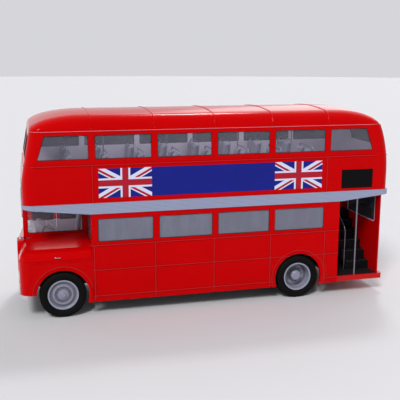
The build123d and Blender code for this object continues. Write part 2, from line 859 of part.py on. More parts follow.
wing_fittings = [arch_flare(front_axle_x, side) for side in (1, -1)]
wing_fittings += [mudguard(side) for side in (1, -1)]
with BuildPart() as wings:
    extrude(
        plan(skirt_z, nose_x, -nose_x, half_width, corner_radius, sharp_corner),
        amount=bonnet_seam_z - skirt_z,
    )
    extrude(
        plan(skirt_z, nose_x - wall, -nose_x - wall, inner_y, corner_radius - wall, sharp_corner),
        amount=bonnet_seam_z - skirt_z, mode=Mode.SUBTRACT,
    )
    for side in (1, -1):
        bead_along(saloon_front_x, nose_x - corner_radius, bonnet_seam_z - seam_bead_drop, side)
    add(wing_fittings)
    block(-2 * nose_x, saloon_front_x, -2 * half_width, 2 * half_width, 0, roof_z, mode=Mode.SUBTRACT)
    block(
        front_axle_x, nose_x + beyond, -2 * half_width, 2 * half_width, 0, wing_z, mode=Mode.SUBTRACT
    )
    block(
        saloon_front_x, nose_x, -2 * half_width, 2 * half_width, -2 * arch_radius, skirt_z,
        mode=Mode.SUBTRACT,
    )
    for side in (1, -1):
        wheel_arch(front_axle_x, side, Mode.SUBTRACT)
        rod((nose_x, side * lamp_y, lamp_z), along_x, lamp_radius, 2 * lamp_recess, Mode.SUBTRACT)
    block(nose_x - 2 * wall, nose_x + beyond, *cowl_y, cowl_z[0], roof_z, mode=Mode.SUBTRACT)
write(wings, "front_wings")

# Radiator cowl and slats
slat_count = 13
slat_width = 10.0
slat_depth = 40.0
slat_set = 50.0
slat_backing = 12.0
cowl_height = cowl_z[1] - cowl_z[0]
mouth_width, mouth_height = 2 * (cowl_half_width - cowl_frame), cowl_height - 2 * cowl_frame
mouth_radius = cowl_corner - cowl_frame


def cowl_outline(x, width, height, top_radius, foot_radius):
    """The radiator's front shape as a sketch at a place along the bus."""
    with BuildSketch(Plane.YZ.offset(x)) as shape:
        with Locations((cowl_centre_y, sum(cowl_z) / 2)):
            Rectangle(width, height)
        fillet(shape.vertices().group_by(Axis.Y)[-1], top_radius)
        fillet(shape.vertices().group_by(Axis.Y)[0], foot_radius)
    return shape.sketch


with BuildPart() as cowl:
    extrude(
        cowl_outline(cowl_back_x, 2 * cowl_half_width, cowl_height, cowl_corner, cowl_foot),
        amount=cowl_depth,
    )
    fillet(cowl.faces().sort_by(Axis.X)[-1].edges(), cowl_edge)
    extrude(
        cowl_outline(cowl_back_x, mouth_width, mouth_height, mouth_radius, sharp_corner),
        amount=cowl_depth, mode=Mode.SUBTRACT,
    )
write(cowl, "radiator_cowl")

slat_x = cowl_front_x - slat_set
backing_x = slat_x - slat_depth - slat_backing
with BuildPart() as slats:
    extrude(
        cowl_outline(backing_x, mouth_width, mouth_height, mouth_radius, sharp_corner),
        amount=slat_backing,
    )
    with Locations((slat_x - slat_depth / 2, cowl_centre_y, sum(cowl_z) / 2)):
        with GridLocations(0, mouth_width / slat_count, 1, slat_count):
            Box(slat_depth, slat_width, 2 * mouth_height)
    extrude(
        cowl_outline(cowl_back_x, mouth_width, mouth_height, mouth_radius, sharp_corner),
        amount=cowl_depth, mode=Mode.INTERSECT,
    )
write(slats, "radiator_slats")

# Half cab on the offside
quarter_post = 60.0
quarter_corner = 220.0
near_window_margin = 90.0
screen_margin = 150.0
screen_post = 90.0
cowl_room = 155.0
door_ear_offset = 26.0
door_ear_back = 6.0
door_ear_out = (6.0, 20.0)
door_ear_root = 25.0
door_pin_length = 68.0
bonnet_ear_offset = 30.0
bonnet_ear_thickness = 20.0
bonnet_ear_half = 9.0
bonnet_pin_length = 80.0
quarter_x = (door_x[1] + quarter_post, cab_front_x - quarter_corner)
near_window_x = (saloon_front_x + near_window_margin, cab_front_x - near_window_margin)
screen_y = (screen_margin - half_width, cab_wall_y - screen_post)


def cab_form(inset):
    """The cab's solid form, its front raked at the scuttle."""
    with BuildPart() as form:
        loft(
            [
                plan(z, x - inset, 0, half_width - inset, corner_radius - inset, corner_radius - inset)
                for z, x in (
                    (bonnet_seam_z, nose_x), (scuttle_z, cab_front_x), (lower_top_z, cab_front_x),
                )
            ],
            ruled=True,
        )
        block(
            saloon_front_x, nose_x, inset - half_width, cab_wall_y - inset,
            bonnet_seam_z, lower_top_z, mode=Mode.INTERSECT,
        )
    return form.part


cab_outer, cab_inner = cab_form(0), cab_form(wall)
with BuildPart() as cab:
    add(cab_outer)
    add(cab_inner, mode=Mode.SUBTRACT)
    end_window(*screen_y, cab_sill_z, cab_head_z, cab_front_x - beyond, cab_front_x + beyond, Mode.SUBTRACT)
    side_window(*near_window_x, cab_sill_z, cab_head_z, 0, half_width, Mode.SUBTRACT)
    side_window(*quarter_x, cab_sill_z, cab_head_z, -2 * half_width, cab_middle_y, Mode.SUBTRACT)
    block(*door_x, -2 * half_width, cab_middle_y, bonnet_seam_z - joint_gap, door_z[1], mode=Mode.SUBTRACT)
    block(
        cowl_back_x - cowl_room, nose_x + beyond, cowl_y[0] - joint_gap, cowl_y[1], 0,
        cowl_z[1] + joint_gap, mode=Mode.SUBTRACT,
    )
    for z in door_hinge_z:
        for ear in (z - door_ear_offset, z + door_ear_offset):
            ear_z = (ear - ear_thickness / 2, ear + ear_thickness / 2)
            block(
                door_x[1], door_x[1] + door_ear_root, -half_width - door_ear_out[1],
                joint_gap - half_width, *ear_z,
            )
            block(
                door_hinge_x - door_ear_back, door_x[1] + joint_gap,
                *[-half_width - out for out in door_ear_out], *ear_z,
            )
        rod((door_hinge_x, door_hinge_y, z), upright, door_pin, door_pin_length)
    for x in bonnet_hinge_x:
        for ear in (x - bonnet_ear_offset, x + bonnet_ear_offset):
            block(
                ear - bonnet_ear_thickness / 2, ear + bonnet_ear_thickness / 2,
                cab_wall_y - joint_gap, bonnet_hinge_y,
                bonnet_hinge_z - bonnet_ear_half, bonnet_hinge_z + bonnet_ear_half,
            )
        rod((x, bonnet_hinge_y, bonnet_hinge_z), along_x, bonnet_pin, bonnet_pin_length)
write(cab, "cab_shell")

# Cab floor with the engine-side panel and the dash
dash_depth = 240.0
dash_drop = 190.0
dash_web = 60.0
dash_round = 60.0
binnacle_radius = 150.0
binnacle_depth = 120.0
cab_panel_x = (saloon_front_x, nose_x - corner_radius)
dash_x = (cab_front_x - wall - dash_depth, cab_front_x - wall)
dash_y = (corner_radius - half_width, cab_wall_y - wall)
with BuildPart() as cab_floor:
    block(*dash_x, *dash_y, cab_sill_z - dash_drop, cab_sill_z)
    fillet(cab_floor.edges().filter_by(Axis.Y).group_by(Axis.X)[0].sort_by(Axis.Z)[-1], dash_round)
    rod(
        (dash_x[1] - binnacle_depth / 2, cab_middle_y, cab_sill_z), along_x, binnacle_radius, binnacle_depth
    )
    block(
        *dash_x, -half_width, cab_wall_y, cab_floor_z, cab_sill_z - dash_drop, mode=Mode.SUBTRACT
    )
    block(*dash_x, dash_y[1] - dash_web, dash_y[1], cab_floor_z, cab_sill_z - dash_drop)
    block(*cab_panel_x, -inner_y, dash_y[1], cab_floor_z - cab_floor_thickness, cab_floor_z)
    block(*cab_panel_x, dash_y[1], cab_wall_y, cab_floor_z - cab_floor_thickness, bonnet_seam_z)
write(cab_floor, "cab_floor")

# Cab door, in the doorway with an even gap
door_inset = 2.0
door_frame = 55.0
door_window_head = 70.0
door_lug_width = 26.0
door_window_z = (cab_sill_z, door_z[1] - door_window_head)
door_window_x = (door_x[0] + sheet_gap + door_frame, door_x[1] - sheet_gap - door_frame)
door_y = (door_inset - half_width, wall - door_inset - half_width)
glass_y = (glass_inset - half_width, glass_inset + glass_thickness - half_width)
with BuildPart() as door:
    block(door_x[0] + sheet_gap, door_x[1] - sheet_gap, *door_y, door_z[0], door_z[1] - sheet_gap)
    side_window(*door_window_x, *door_window_z, -2 * half_width, 0, Mode.SUBTRACT)
    for z in door_hinge_z:
        block(
            door_hinge_x - door_ear_root, door_hinge_x, door_hinge_y - joint_gap, door_y[0] + joint_gap,
            z - door_lug_width / 2, z + door_lug_width / 2,
        )
        rod((door_hinge_x, door_hinge_y, z), upright, door_sleeve, door_lug_width)
        rod(
            (door_hinge_x, door_hinge_y, z), upright, door_pin + hinge_play, 2 * door_lug_width,
            Mode.SUBTRACT,
        )
write(door, "cab_door")

with BuildPart() as door_glass:
    side_window(*door_window_x, *door_window_z, *glass_y, Mode.ADD)
write(door_glass, "cab_door_glass")

with BuildPart() as cab_glass:
    end_window(
        *screen_y, cab_sill_z, cab_head_z,
        cab_front_x - glass_inset - glass_thickness, cab_front_x - glass_inset, Mode.ADD,
    )
    side_window(
        *near_window_x, cab_sill_z, cab_head_z,
        cab_wall_y - glass_inset - glass_thickness, cab_wall_y - glass_inset, Mode.ADD,
    )
    side_window(*quarter_x, cab_sill_z, cab_head_z, *glass_y, Mode.ADD)
write(cab_glass, "cab_glass")

# Lower deck glass; columns of the end panes: y0, y1, z0, z1, middle of the pane
end_panes = [
    *[(*y, *light_z, saloon_front_x - glass_inset) for y in light_y],
    (*rear_window_y, *rear_window_z, lower_rear_x + glass_inset),
    (*partition_light_y, lower_sill_z, lower_head_z, platform_front_x + wall / 2),
]
with BuildPart() as lower_glass:
    for side in (1, -1):
        y0, y1 = sorted(side * y for y in glass_y)
        for i in range(bay_count):
            side_window(*lower_bay(i), lower_sill_z, lower_head_z, y0, y1, Mode.ADD)
    for y0, y1, z0, z1, middle in end_panes:
        end_window(
            y0, y1, z0, z1, middle - glass_thickness / 2, middle + glass_thickness / 2, Mode.ADD
        )
write(lower_glass, "lower_glass")

# Bonnet: a thin hood over the engine on the nearside, hinged along the cab
bonnet_tumble = 45.0
bonnet_shoulder_rise = 205.0
bonnet_shoulder = 1.2 * bonnet_shoulder_rise
bonnet_brow = (75.0, 245.0)
bonnet_nose = 150.0
bonnet_slope = 10.0
bonnet_lug_width = 30.0
bonnet_lug_y = (5.0, 14.0)
bonnet_lug_drop = 74.0
bonnet_rear_x = saloon_front_x + sheet_gap
bonnet_inner_y = cab_wall_y + sheet_gap
bonnet_seat_z = bonnet_seam_z + sheet_gap


def bonnet_form(inset):
    """The bonnet's solid form, drawn in by inset on its outside."""
    with BuildPart() as form:
        with BuildSketch(Plane.YZ.offset(bonnet_rear_x)):
            with BuildLine():
                over = FilletPolyline(
                    (half_width - inset, bonnet_seat_z),
                    (half_width - bonnet_tumble - inset, bonnet_seam_z + bonnet_shoulder_rise - inset),
                    (bonnet_inner_y, bonnet_top_z - inset), radius=bonnet_shoulder - inset,
                )
                Polyline(over @ 1, (bonnet_inner_y, bonnet_seat_z), over @ 0)
            make_face()
        extrude(amount=nose_x + beyond - bonnet_rear_x)
        with BuildSketch(Plane.XZ):
            with BuildLine():
                over = FilletPolyline(
                    (nose_x - inset, bonnet_seat_z),
                    (nose_x - bonnet_brow[0] - inset, bonnet_seam_z + bonnet_brow[1] - inset),
                    (bonnet_rear_x, bonnet_top_z + bonnet_slope - inset), radius=bonnet_nose - inset,
                )
                Polyline(over @ 1, (bonnet_rear_x, bonnet_seat_z), over @ 0)
            make_face()
        extrude(amount=-2 * half_width, mode=Mode.INTERSECT)
        extrude(
            plan(
                bonnet_seat_z, nose_x - inset, -nose_x, half_width - inset, corner_radius - inset,
                sharp_corner,
            ),
            amount=roof_z, mode=Mode.INTERSECT,
        )
    return form.part


bonnet_outer, bonnet_inner = bonnet_form(0), bonnet_form(bonnet_skin)
with BuildPart() as bonnet:
    add(bonnet_outer)
    add(bonnet_inner, mode=Mode.SUBTRACT)
    block(
        cowl_back_x - sheet_gap, nose_x + beyond, 0, cowl_y[1] + sheet_gap,
        0, cowl_z[1] + sheet_gap, mode=Mode.SUBTRACT,
    )
    for x in bonnet_hinge_x:
        block(
            x - bonnet_lug_width / 2, x + bonnet_lug_width / 2,
            bonnet_hinge_y - bonnet_lug_y[0], bonnet_hinge_y + bonnet_lug_y[1],
            bonnet_hinge_z - bonnet_lug_drop, bonnet_hinge_z,
        )
        rod((x, bonnet_hinge_y, bonnet_hinge_z), along_x, bonnet_sleeve, bonnet_lug_width)
        rod(
            (x, bonnet_hinge_y, bonnet_hinge_z), along_x, bonnet_pin + hinge_play,
            2 * bonnet_lug_width, Mode.SUBTRACT,
        )
write(bonnet, "bonnet")

# Front bumper, under the nose
bumper_height = 75.0
bumper_proud = 16.0
bumper_thickness = 36.0
bumper_end = 90.0
with BuildPart() as bumper:
    extrude(
        plan(
            wing_z - bumper_height, nose_x + bumper_proud, -nose_x, half_width,
            corner_radius + bumper_proud, sharp_corner,
        ),
        amount=bumper_height,
    )
    extrude(
        plan(
            wing_z - bumper_height, nose_x + bumper_proud - bumper_thickness, -2 * nose_x,
            half_width - bumper_thickness, corner_radius + bumper_proud - bumper_thickness, sharp_corner,
        ),
        amount=bumper_height, mode=Mode.SUBTRACT,
    )
    block(
        -2 * nose_x, nose_x - corner_radius + bumper_end, -2 * half_width, 2 * half_width, 0, roof_z,
        mode=Mode.SUBTRACT,
    )
write(bumper, "front_bumper")

# Lamps; columns of the lens: distance out, radius
lens = [(32.0, 0.0), (26.0, lamp_radius / 2), (8.0, lamp_radius - 14)]
lamp_rim = 14.0
tail_margin = 200.0
tail_rise = 680.0
tail_size = (24.0, 90.0, 190.0)
with BuildPart() as lamp:
    with BuildSketch(Plane.XY):
        with BuildLine():
            Line((0, 0), lens[0])
            ThreePointArc(*lens)
            Polyline(lens[-1], (lamp_rim, lamp_radius), (0, lamp_radius), (0, 0))
        make_face()
    revolve(axis=Axis.X)

with BuildPart() as head_lamps:
    for side in (1, -1):
        add(lamp.part.moved(Location((nose_x - lamp_recess, side * lamp_y, lamp_z))))
write(head_lamps, "head_lamps")

tail_x, tail_y = lower_rear_x - tail_size[0] / 2, half_width - tail_margin
with BuildPart() as tail_lamps:
    for side in (1, -1):
        with Locations((tail_x, side * tail_y, axle_z + tail_rise)):
            Box(*tail_size)
write(tail_lamps, "tail_lamps")

# Chassis: two rails with crossmembers, jack pads and towing lug
rail_front = 165.0
axle_radius = 75.0
rail_clear = 30.0
cross_width = 80.0
cross_depth = 60.0
cross_behind = 685.0
cross_ahead = 715.0
cross_front = 720.0
cross_count = 5
nose_member = 40.0
pad_height = 12.0
pad_size = (120.0, 70.0)
pad_ahead = 815.0
pad_behind = 1120.0
tow_radius = 22.0
tow_plate = (120.0, 120.0, 40.0)
tow_ahead = 75.0
rail_ends = (platform_front_x, nose_x - rail_front)
cross_span = (rear_axle_x + cross_ahead, front_axle_x - cross_front)
cross_pitch = (cross_span[1] - cross_span[0]) / (cross_count - 1)
cross_x = [rear_axle_x - cross_behind, *[cross_span[0] + cross_pitch * i for i in range(cross_count)]]
with BuildPart() as chassis:
    for side in (1, -1):
        block(*rail_ends, side * (rail_y - rail_width / 2), side * (rail_y + rail_width / 2), *rail_z)
        rod(
            (rear_axle_x, side * rail_y, axle_z), along_y, axle_radius + rail_clear, 2 * rail_width,
            Mode.SUBTRACT,
        )
        for x in (rear_axle_x + pad_ahead, front_axle_x - pad_behind):
            with Locations((x, side * rail_y, rail_z[0] - pad_height / 2)):
                Box(*pad_size, pad_height)
    for x in cross_x:
        block(x - cross_width / 2, x + cross_width / 2, -inner_y, inner_y, rail_z[1] - cross_depth, rail_z[1])
    block(rail_ends[1] - nose_member, rail_ends[1], -rail_y, rail_y, *rail_z)
    with Locations((rail_ends[1] + tow_plate[0] / 2, 0, rail_z[0] + tow_plate[2] / 2)):
        Box(*tow_plate)
    rod((rail_ends[1] + tow_ahead, 0, rail_z[0]), upright, tow_radius, 4 * tow_plate[2], Mode.SUBTRACT)
write(chassis, "chassis_frame")

# Engine: block, head, rocker cover, sump, manifold and fan; its upper parts step in by shares of
# its width
engine_behind = 420.0
engine_ahead = 630.0
engine_gap = 50.0
engine_over = 100.0
engine_step = 8.0
head_drop = 160.0
head_share = 0.16
cover_share = 0.3
cover_round_share = 0.1
cover_height = 90.0
sump_depth = 140.0
sump_inset = 50.0
manifold_radius = 35.0
manifold_drop = 60.0
fan_radius = 210.0
fan_thickness = 24.0
engine_top_rise = 75.0
engine_x = (front_axle_x - engine_behind, front_axle_x + engine_ahead)
engine_y = (cab_wall_y + engine_gap, rail_y + engine_over)
engine_width = engine_y[1] - engine_y[0]
head_inset, cover_inset = head_share * engine_width, cover_share * engine_width
engine_top_z = bonnet_seam_z + engine_top_rise
head_z = engine_top_z - cover_height
engine_mid_y = sum(engine_y) / 2
with BuildPart() as engine:
    block(
        engine_x[0] + cover_inset, engine_x[1] - cover_inset, engine_y[0] + cover_inset,
        engine_y[1] - cover_inset, head_z - head_drop, engine_top_z,
    )
    fillet(engine.edges().group_by(Axis.Z)[-1], cover_round_share * engine_width)
    block(
        engine_x[0] + head_inset, engine_x[1] - head_inset, engine_y[0] + head_inset,
        engine_y[1] - head_inset, rail_z[1], head_z,
    )
    block(*engine_x, *engine_y, rail_z[1], head_z - head_drop)
    block(
        engine_x[0] + sump_inset, engine_x[1] - sump_inset, engine_y[0],
        rail_y - rail_width / 2 - engine_step, rail_z[1] - sump_depth, rail_z[1],
    )
    rod(
        (sum(engine_x) / 2, engine_y[1], head_z - head_drop - manifold_drop), along_x, manifold_radius,
        engine_x[1] - engine_x[0] - 2 * head_inset,
    )
    rod(
        (engine_x[1] + fan_thickness / 2, engine_mid_y, head_z - head_drop - fan_radius / 2), along_x,
        fan_radius, fan_thickness,
    )
write(engine, "engine")

# Gearbox amidships, with shafts to the engine and the rear axle
shaft_radius = 45.0
gearbox_behind = 1820.0
gearbox_length = 850.0
gearbox_depth = 220.0
gearbox_offside = 120.0
gearbox_gap = 80.0
shaft_drop = 20.0
nose_shaft_inset = 70.0
pinion_length = 160.0
gearbox_x = (front_axle_x - gearbox_behind - gearbox_length, front_axle_x - gearbox_behind)
gearbox_y = (-gearbox_offside, rail_y - rail_width / 2 - gearbox_gap)
gearbox_z = rail_z[1] - cross_depth
shaft_z = axle_z - shaft_drop
rear_shaft_x = rear_axle_x + pinion_length
front_shaft_x = engine_x[0] + sump_inset
with BuildPart() as gearbox:
    block(*gearbox_x, *gearbox_y, gearbox_z - gearbox_depth, gearbox_z)
    rod(
        ((gearbox_x[0] + rear_shaft_x) / 2, 0, shaft_z), along_x, shaft_radius, gearbox_x[0] - rear_shaft_x
    )
    rod(
        ((gearbox_x[1] + front_shaft_x) / 2, gearbox_y[1] - nose_shaft_inset, rail_z[0]), along_x,
        shaft_radius, front_shaft_x - gearbox_x[1],
    )
write(gearbox, "gearbox_and_shaft")

tank_ahead = 1115.0
tank_length = 1200.0
tank_depth = 250.0
tank_inset = 35.0
tank_gap = 140.0
tank_round = 60.0
with BuildPart() as tank:
    block(
        rear_axle_x + tank_ahead, rear_axle_x + tank_ahead + tank_length,
        tank_inset - inner_y, -rail_y - rail_width / 2 - tank_gap, gearbox_z - tank_depth, gearbox_z,
    )
    fillet(tank.edges().filter_by(Axis.X), tank_round)
write(tank, "fuel_tank")

# Axles on leaf springs, the longest leaf on top
spring_half = 38.0
leaf_count = 4
spring_reach = 620.0
front_reach = 560.0
leaf_step = 130.0
spring_depth = 60.0
hanger_inset = 40.0
axle_end = 135.0
case_radius, case_width = 130.0, 260.0
pinion_radius = 70.0
spring_top_z = axle_z - pinion_radius


def leaf_spring(axle_x, side, reach, top_z, depth):
    """A pack of straight leaves under a rail, each shorter than the one above."""
    leaf = depth / leaf_count
    for i in range(leaf_count):
        half = reach - leaf_step * i
        block(
            axle_x - half, axle_x + half, side * (rail_y - spring_half), side * (rail_y + spring_half),
            top_z - leaf * (i + 1), top_z - leaf * i,
        )


with BuildPart() as rear_axle:
    rod((rear_axle_x, 0, axle_z), along_y, axle_radius, 2 * (front_mid_y - axle_end))
    rod((rear_axle_x, 0, axle_z), along_y, case_radius, case_width)
    rod((rear_axle_x + pinion_length / 2, 0, shaft_z), along_x, pinion_radius, pinion_length)
    for side in (1, -1):
        leaf_spring(rear_axle_x, side, spring_reach, spring_top_z, spring_depth)
        for end in (-1, 1):
            x = rear_axle_x + end * (spring_reach - hanger_inset)
            block(
                x - hanger_inset, x + hanger_inset, side * (rail_y - spring_half),
                side * (rail_y + spring_half), spring_top_z, rail_z[0],
            )
write(rear_axle, "rear_axle")

beam_drop = 100.0
beam_depth = 70.0
beam_half = 45.0
beam_end = 60.0
yoke_gap = 130.0
yoke_half = 35.0
yoke_root = 65.0
eye_radius = 38.0
pin_radius = 24.0
beam_z = (axle_z - beam_drop, axle_z - beam_drop + beam_depth)
with BuildPart() as front_axle:
    block(
        front_axle_x - beam_half, front_axle_x + beam_half, beam_end - kingpin_y, kingpin_y - beam_end,
        *beam_z,
    )
    for side in (1, -1):
        block(
            front_axle_x - yoke_half, front_axle_x + yoke_half, side * (kingpin_y - yoke_root),
            side * kingpin_y, axle_z - yoke_gap / 2, axle_z + yoke_gap / 2,
        )
        rod((front_axle_x, side * kingpin_y, axle_z), upright, eye_radius, yoke_gap)
        rod(
            (front_axle_x, side * kingpin_y, axle_z), upright, pin_radius + hinge_play, 2 * yoke_gap,
            Mode.SUBTRACT,
        )
        leaf_spring(front_axle_x, side, front_reach, rail_z[0], rail_z[0] - beam_z[1])
write(front_axle, "front_axle")

# Steered knuckles: a clevis over the axle's eye, a kingpin and the stub for the hub
knuckle_half = 40.0
knuckle_rise = 110.0
knuckle_gap = 8.0
knuckle_y = (-35.0, 45.0, 75.0)
stub_radius = 40.0
stub_out = 130.0
clevis_z = yoke_gap / 2 + knuckle_gap
for name, side in (("steering_knuckle_left", 1), ("steering_knuckle_right", -1)):
    arm_y, plate_y, face_y = [side * (kingpin_y + out) for out in knuckle_y]
    with BuildPart() as knuckle:
        block(
            front_axle_x - knuckle_half, front_axle_x + knuckle_half, plate_y, face_y,
            axle_z - knuckle_rise, axle_z + knuckle_rise,
        )
        for end in (1, -1):
            block(
                front_axle_x - knuckle_half, front_axle_x + knuckle_half, arm_y, face_y,
                axle_z + end * clevis_z, axle_z + end * knuckle_rise,
            )
        rod(
            (front_axle_x, (face_y + side * (kingpin_y + stub_out)) / 2, axle_z), along_y, stub_radius,
            stub_out - knuckle_y[2],
        )
        rod((front_axle_x, side * kingpin_y, axle_z), upright, pin_radius, 2 * knuckle_rise)
    write(knuckle, name)

# Wheels and tyres, each a table turned about its axle; columns: radius, distance out from the
# outer tyre's middle. The rear table goes on through the inner twin, one step further in.
bead_seat = rim_radius - 8
flange = rim_radius + 4
well = rim_radius - 34
lip = rim_radius - 22
dish = rim_radius - 46
groove = rim_radius - 94
ring = rim_radius - 146
hub_radius = 95.0
drum_radius = 118.0
cap_radius = 62.0
half_tyre = tyre_width / 2
seat_out, edge_out, web_out = half_tyre - 35, half_tyre - 23, half_tyre - 89
bulge = rim_radius + 0.34 * (tyre_radius - rim_radius)
shoulder = rim_radius + 0.76 * (tyre_radius - rim_radius)
step_in = twin_mid_y - front_mid_y
stub_bore = stub_radius + hinge_play
axle_bore = axle_radius + hinge_play
front_rim = [
    (bead_seat, -seat_out), (flange, -seat_out), (flange, -edge_out), (lip, -edge_out),
    (well, 10 - seat_out), (well, web_out), (hub_radius, web_out), (hub_radius, -2), (stub_bore, -2),
    (stub_bore, 52), (0, 52), (0, half_tyre - 13), (cap_radius - 10, half_tyre - 13),
    (cap_radius, half_tyre - 21), (cap_radius + 4, half_tyre - 41), (drum_radius - 6, half_tyre - 49),
    (drum_radius, half_tyre - 61), (ring, half_tyre - 63), (ring + 10, half_tyre - 37),
    (groove - 14, half_tyre - 37), (groove, half_tyre - 63), (dish, half_tyre - 69),
    (lip - 8, half_tyre - 29), (lip, edge_out), (flange, edge_out), (flange, seat_out),
    (bead_seat, seat_out),
]
rear_rim = [
    (bead_seat, seat_out), (flange, seat_out), (flange, edge_out), (lip, edge_out),
    (well + 2, seat_out), (well - 2, -40), (groove + 12, -112), (drum_radius + 32, -122),
    (drum_radius + 4, -112), (drum_radius - 2, 20), (cap_radius + 22, 46), (0, 46), (0, -122),
    (axle_bore, -122), (axle_bore, -255), (drum_radius, -255), (drum_radius + 4, -165),
    (drum_radius + 32, -160), (well, -160), (well, step_in + 10 - seat_out), (lip, step_in - edge_out),
    (flange, step_in - edge_out), (flange, step_in - seat_out), (bead_seat, step_in - seat_out),
    (bead_seat, step_in + seat_out), (flange, step_in + seat_out), (flange, step_in + edge_out),
    (lip + 2, step_in + edge_out), (lip + 2, -edge_out), (flange, -edge_out), (flange, -seat_out),
    (bead_seat, -seat_out),
]
tyre_section = [
    (bead_seat, half_tyre - 45), (bulge, half_tyre), (shoulder, half_tyre - 4),
    (tyre_radius, half_tyre - 34),
]
tyre_table = [*tyre_section, *[(r, -d) for r, d in reversed(tyre_section)]]


def turned(table, mid_y, side, axle_x):
    """A form turned about an axle from a table of radius and distance out."""
    with BuildPart() as form:
        with BuildSketch(Plane.XY):
            with BuildLine():
                Polyline(*[(r, side * (mid_y + d)) for r, d in table], close=True)
            make_face()
        revolve(axis=Axis.Y)
    return form.part.moved(Location((axle_x, 0, axle_z)))


# columns: end, axle, wheel table, middles of the tyres on it
axles = [
    ("front", front_axle_x, front_rim, [front_mid_y]),
    ("rear", rear_axle_x, rear_rim, [front_mid_y, twin_mid_y]),
]
for end, axle_x, table, middles in axles:
    for hand, side in (("left", 1), ("right", -1)):
        wheel_form = turned(table, front_mid_y, side, axle_x)
        with BuildPart() as wheel:
            add(wheel_form)
        write(wheel, f"{end}_wheel_{hand}")
        rings = [turned(tyre_table, mid_y, side, axle_x) for mid_y in middles]
        with BuildPart() as tyre:
            add(rings)
        write(tyre, f"{end}_tyre_{hand}")

# Seats: columns of the profile are distance forward of the back's top, height over the floor
seat_profile = [(-45, 1000), (20, 1000), (95, 470), (490, 490), (505, 370), (10, 370)]
seat_under = 370.0
seat_pitch = 770.0
upper_front_row = 967.0
lower_front_row = 840.0
stairs_clear = 400.0
aisle_half = 250.0
seat_gap = 7.0
leg_x = (150.0, 420.0)
leg_y = (80.0, 120.0)
bench_inset = 20.0
bench_lip = 80.0
bench_height = 90.0
bench_back = 530.0
driver_ahead = 110.0
driver_half = 230.0
driver_drop = 120.0
post_half = 30.0
seat_y = (aisle_half, inner_y - seat_gap)
first_upper_x = front_x - upper_front_row
first_lower_x = saloon_front_x - lower_front_row
upper_count = int((first_upper_x - stair_top_x - stairs_clear) / seat_pitch) + 1
lower_count = int((first_lower_x - rear_axle_x - wheel_box_half) / seat_pitch) + 1
upper_rows = [first_upper_x - seat_pitch * i for i in range(upper_count)]
lower_rows = [first_lower_x - seat_pitch * i for i in range(lower_count)]
driver_x = saloon_front_x + driver_ahead
bench_x = (rear_axle_x - wheel_box_half + bench_inset, rear_axle_x + wheel_box_half - bench_inset)
bench_z = [wheel_box_top_z + rise for rise in (0, bench_height, bench_back)]


def seat(x_back, y0, y1, base_z):
    """One seat, cushion and back together, across the bus from y0 to y1."""
    with BuildSketch(Plane.XZ.offset(-y1)) as outline:
        with BuildLine():
            Polyline(*[(x_back + x, base_z + z) for x, z in seat_profile], close=True)
        make_face()
    extrude(outline.sketch, amount=y1 - y0)


with BuildPart() as upper_seats:
    for x in upper_rows:
        for side in (1, -1):
            seat(x, *sorted(side * y for y in seat_y), deck_z)
write(upper_seats, "upper_seats")

with BuildPart() as lower_seats:
    for x in lower_rows:
        for side in (1, -1):
            seat(x, *sorted(side * y for y in seat_y), floor_z)
    seat(driver_x, cab_middle_y - driver_half, cab_middle_y + driver_half, cab_floor_z - driver_drop)
    for side in (1, -1):
        block(*bench_x, side * (wheel_box_y + bench_lip), side * inner_y, bench_z[0], bench_z[1])
        block(*bench_x, side * (inner_y - bench_lip), side * inner_y, bench_z[1], bench_z[2])
write(lower_seats, "lower_seats")

with BuildPart() as seat_frames:
    for rows, base in ((upper_rows, deck_z), (lower_rows, floor_z)):
        for x in rows:
            for side in (1, -1):
                block(
                    x + leg_x[0], x + leg_x[1],
                    *[side * (aisle_half + y) for y in leg_y], base, base + seat_under,
                )
    block(
        driver_x + leg_x[0], driver_x + leg_x[1], cab_middle_y - post_half, cab_middle_y + post_half,
        cab_floor_z, cab_floor_z - driver_drop + seat_under,
    )
write(seat_frames, "seat_frames")

# Steering wheel on its column
rim_reach = 235.0
rim_section = 16.0
rim_sides = 6
spoke_width = 30.0
spoke_depth = 14.0
boss_radius, boss_depth = 45.0, 40.0
column_radius, column_length = 26.0, 740.0
column_lean = -30.0
wheel_back = 520.0
wheel_over = 40.0
with BuildPart() as hand_wheel:
    with BuildSketch(Plane.XZ):
        with Locations((rim_reach, 0)):
            RegularPolygon(rim_section, rim_sides)
    revolve(axis=Axis.Z)
    Cylinder(boss_radius, boss_depth)
    Box(2 * rim_reach, spoke_width, spoke_depth)
    Box(spoke_width, 2 * rim_reach, spoke_depth)
    rod((0, 0, -column_length / 2), upright, column_radius, column_length)

hand_wheel_at = Location(
    (cab_front_x - wheel_back, cab_middle_y, cab_sill_z + wheel_over), (0, column_lean, 0)
)
with BuildPart() as steering:
    add(hand_wheel.part.moved(hand_wheel_at))
    block(
        saloon_front_x, nose_x, -half_width, half_width, 0, cab_floor_z, mode=Mode.SUBTRACT
    )
write(steering, "steering_wheel")

# Blind and side panels
panel_proud = 6.0
blind_ahead = (408.0, 1182.0)
blind_rise = (70.0, 500.0)
end_blind_rise = (60.0, 320.0)
front_blind_margin = 600.0
rear_blind_margin = 740.0
advert_margin = 125.0
advert_rise = 110.0
advert_drop = 78.0
blind_x = [rear_x + ahead for ahead in blind_ahead]
blind_z = [deck_z + rise for rise in blind_rise]
end_blind_z = [deck_z + rise for rise in end_blind_rise]
front_blind_y, rear_blind_y = half_width - front_blind_margin, half_width - rear_blind_margin
with BuildPart() as blinds:
    for side in (1, -1):
        block(*blind_x, side * half_width, side * (half_width + panel_proud), *blind_z)
    block(front_x, front_x + panel_proud, -front_blind_y, front_blind_y, *end_blind_z)
    block(rear_x - panel_proud, rear_x, -rear_blind_y, rear_blind_y, *end_blind_z)
write(blinds, "blind_panels")

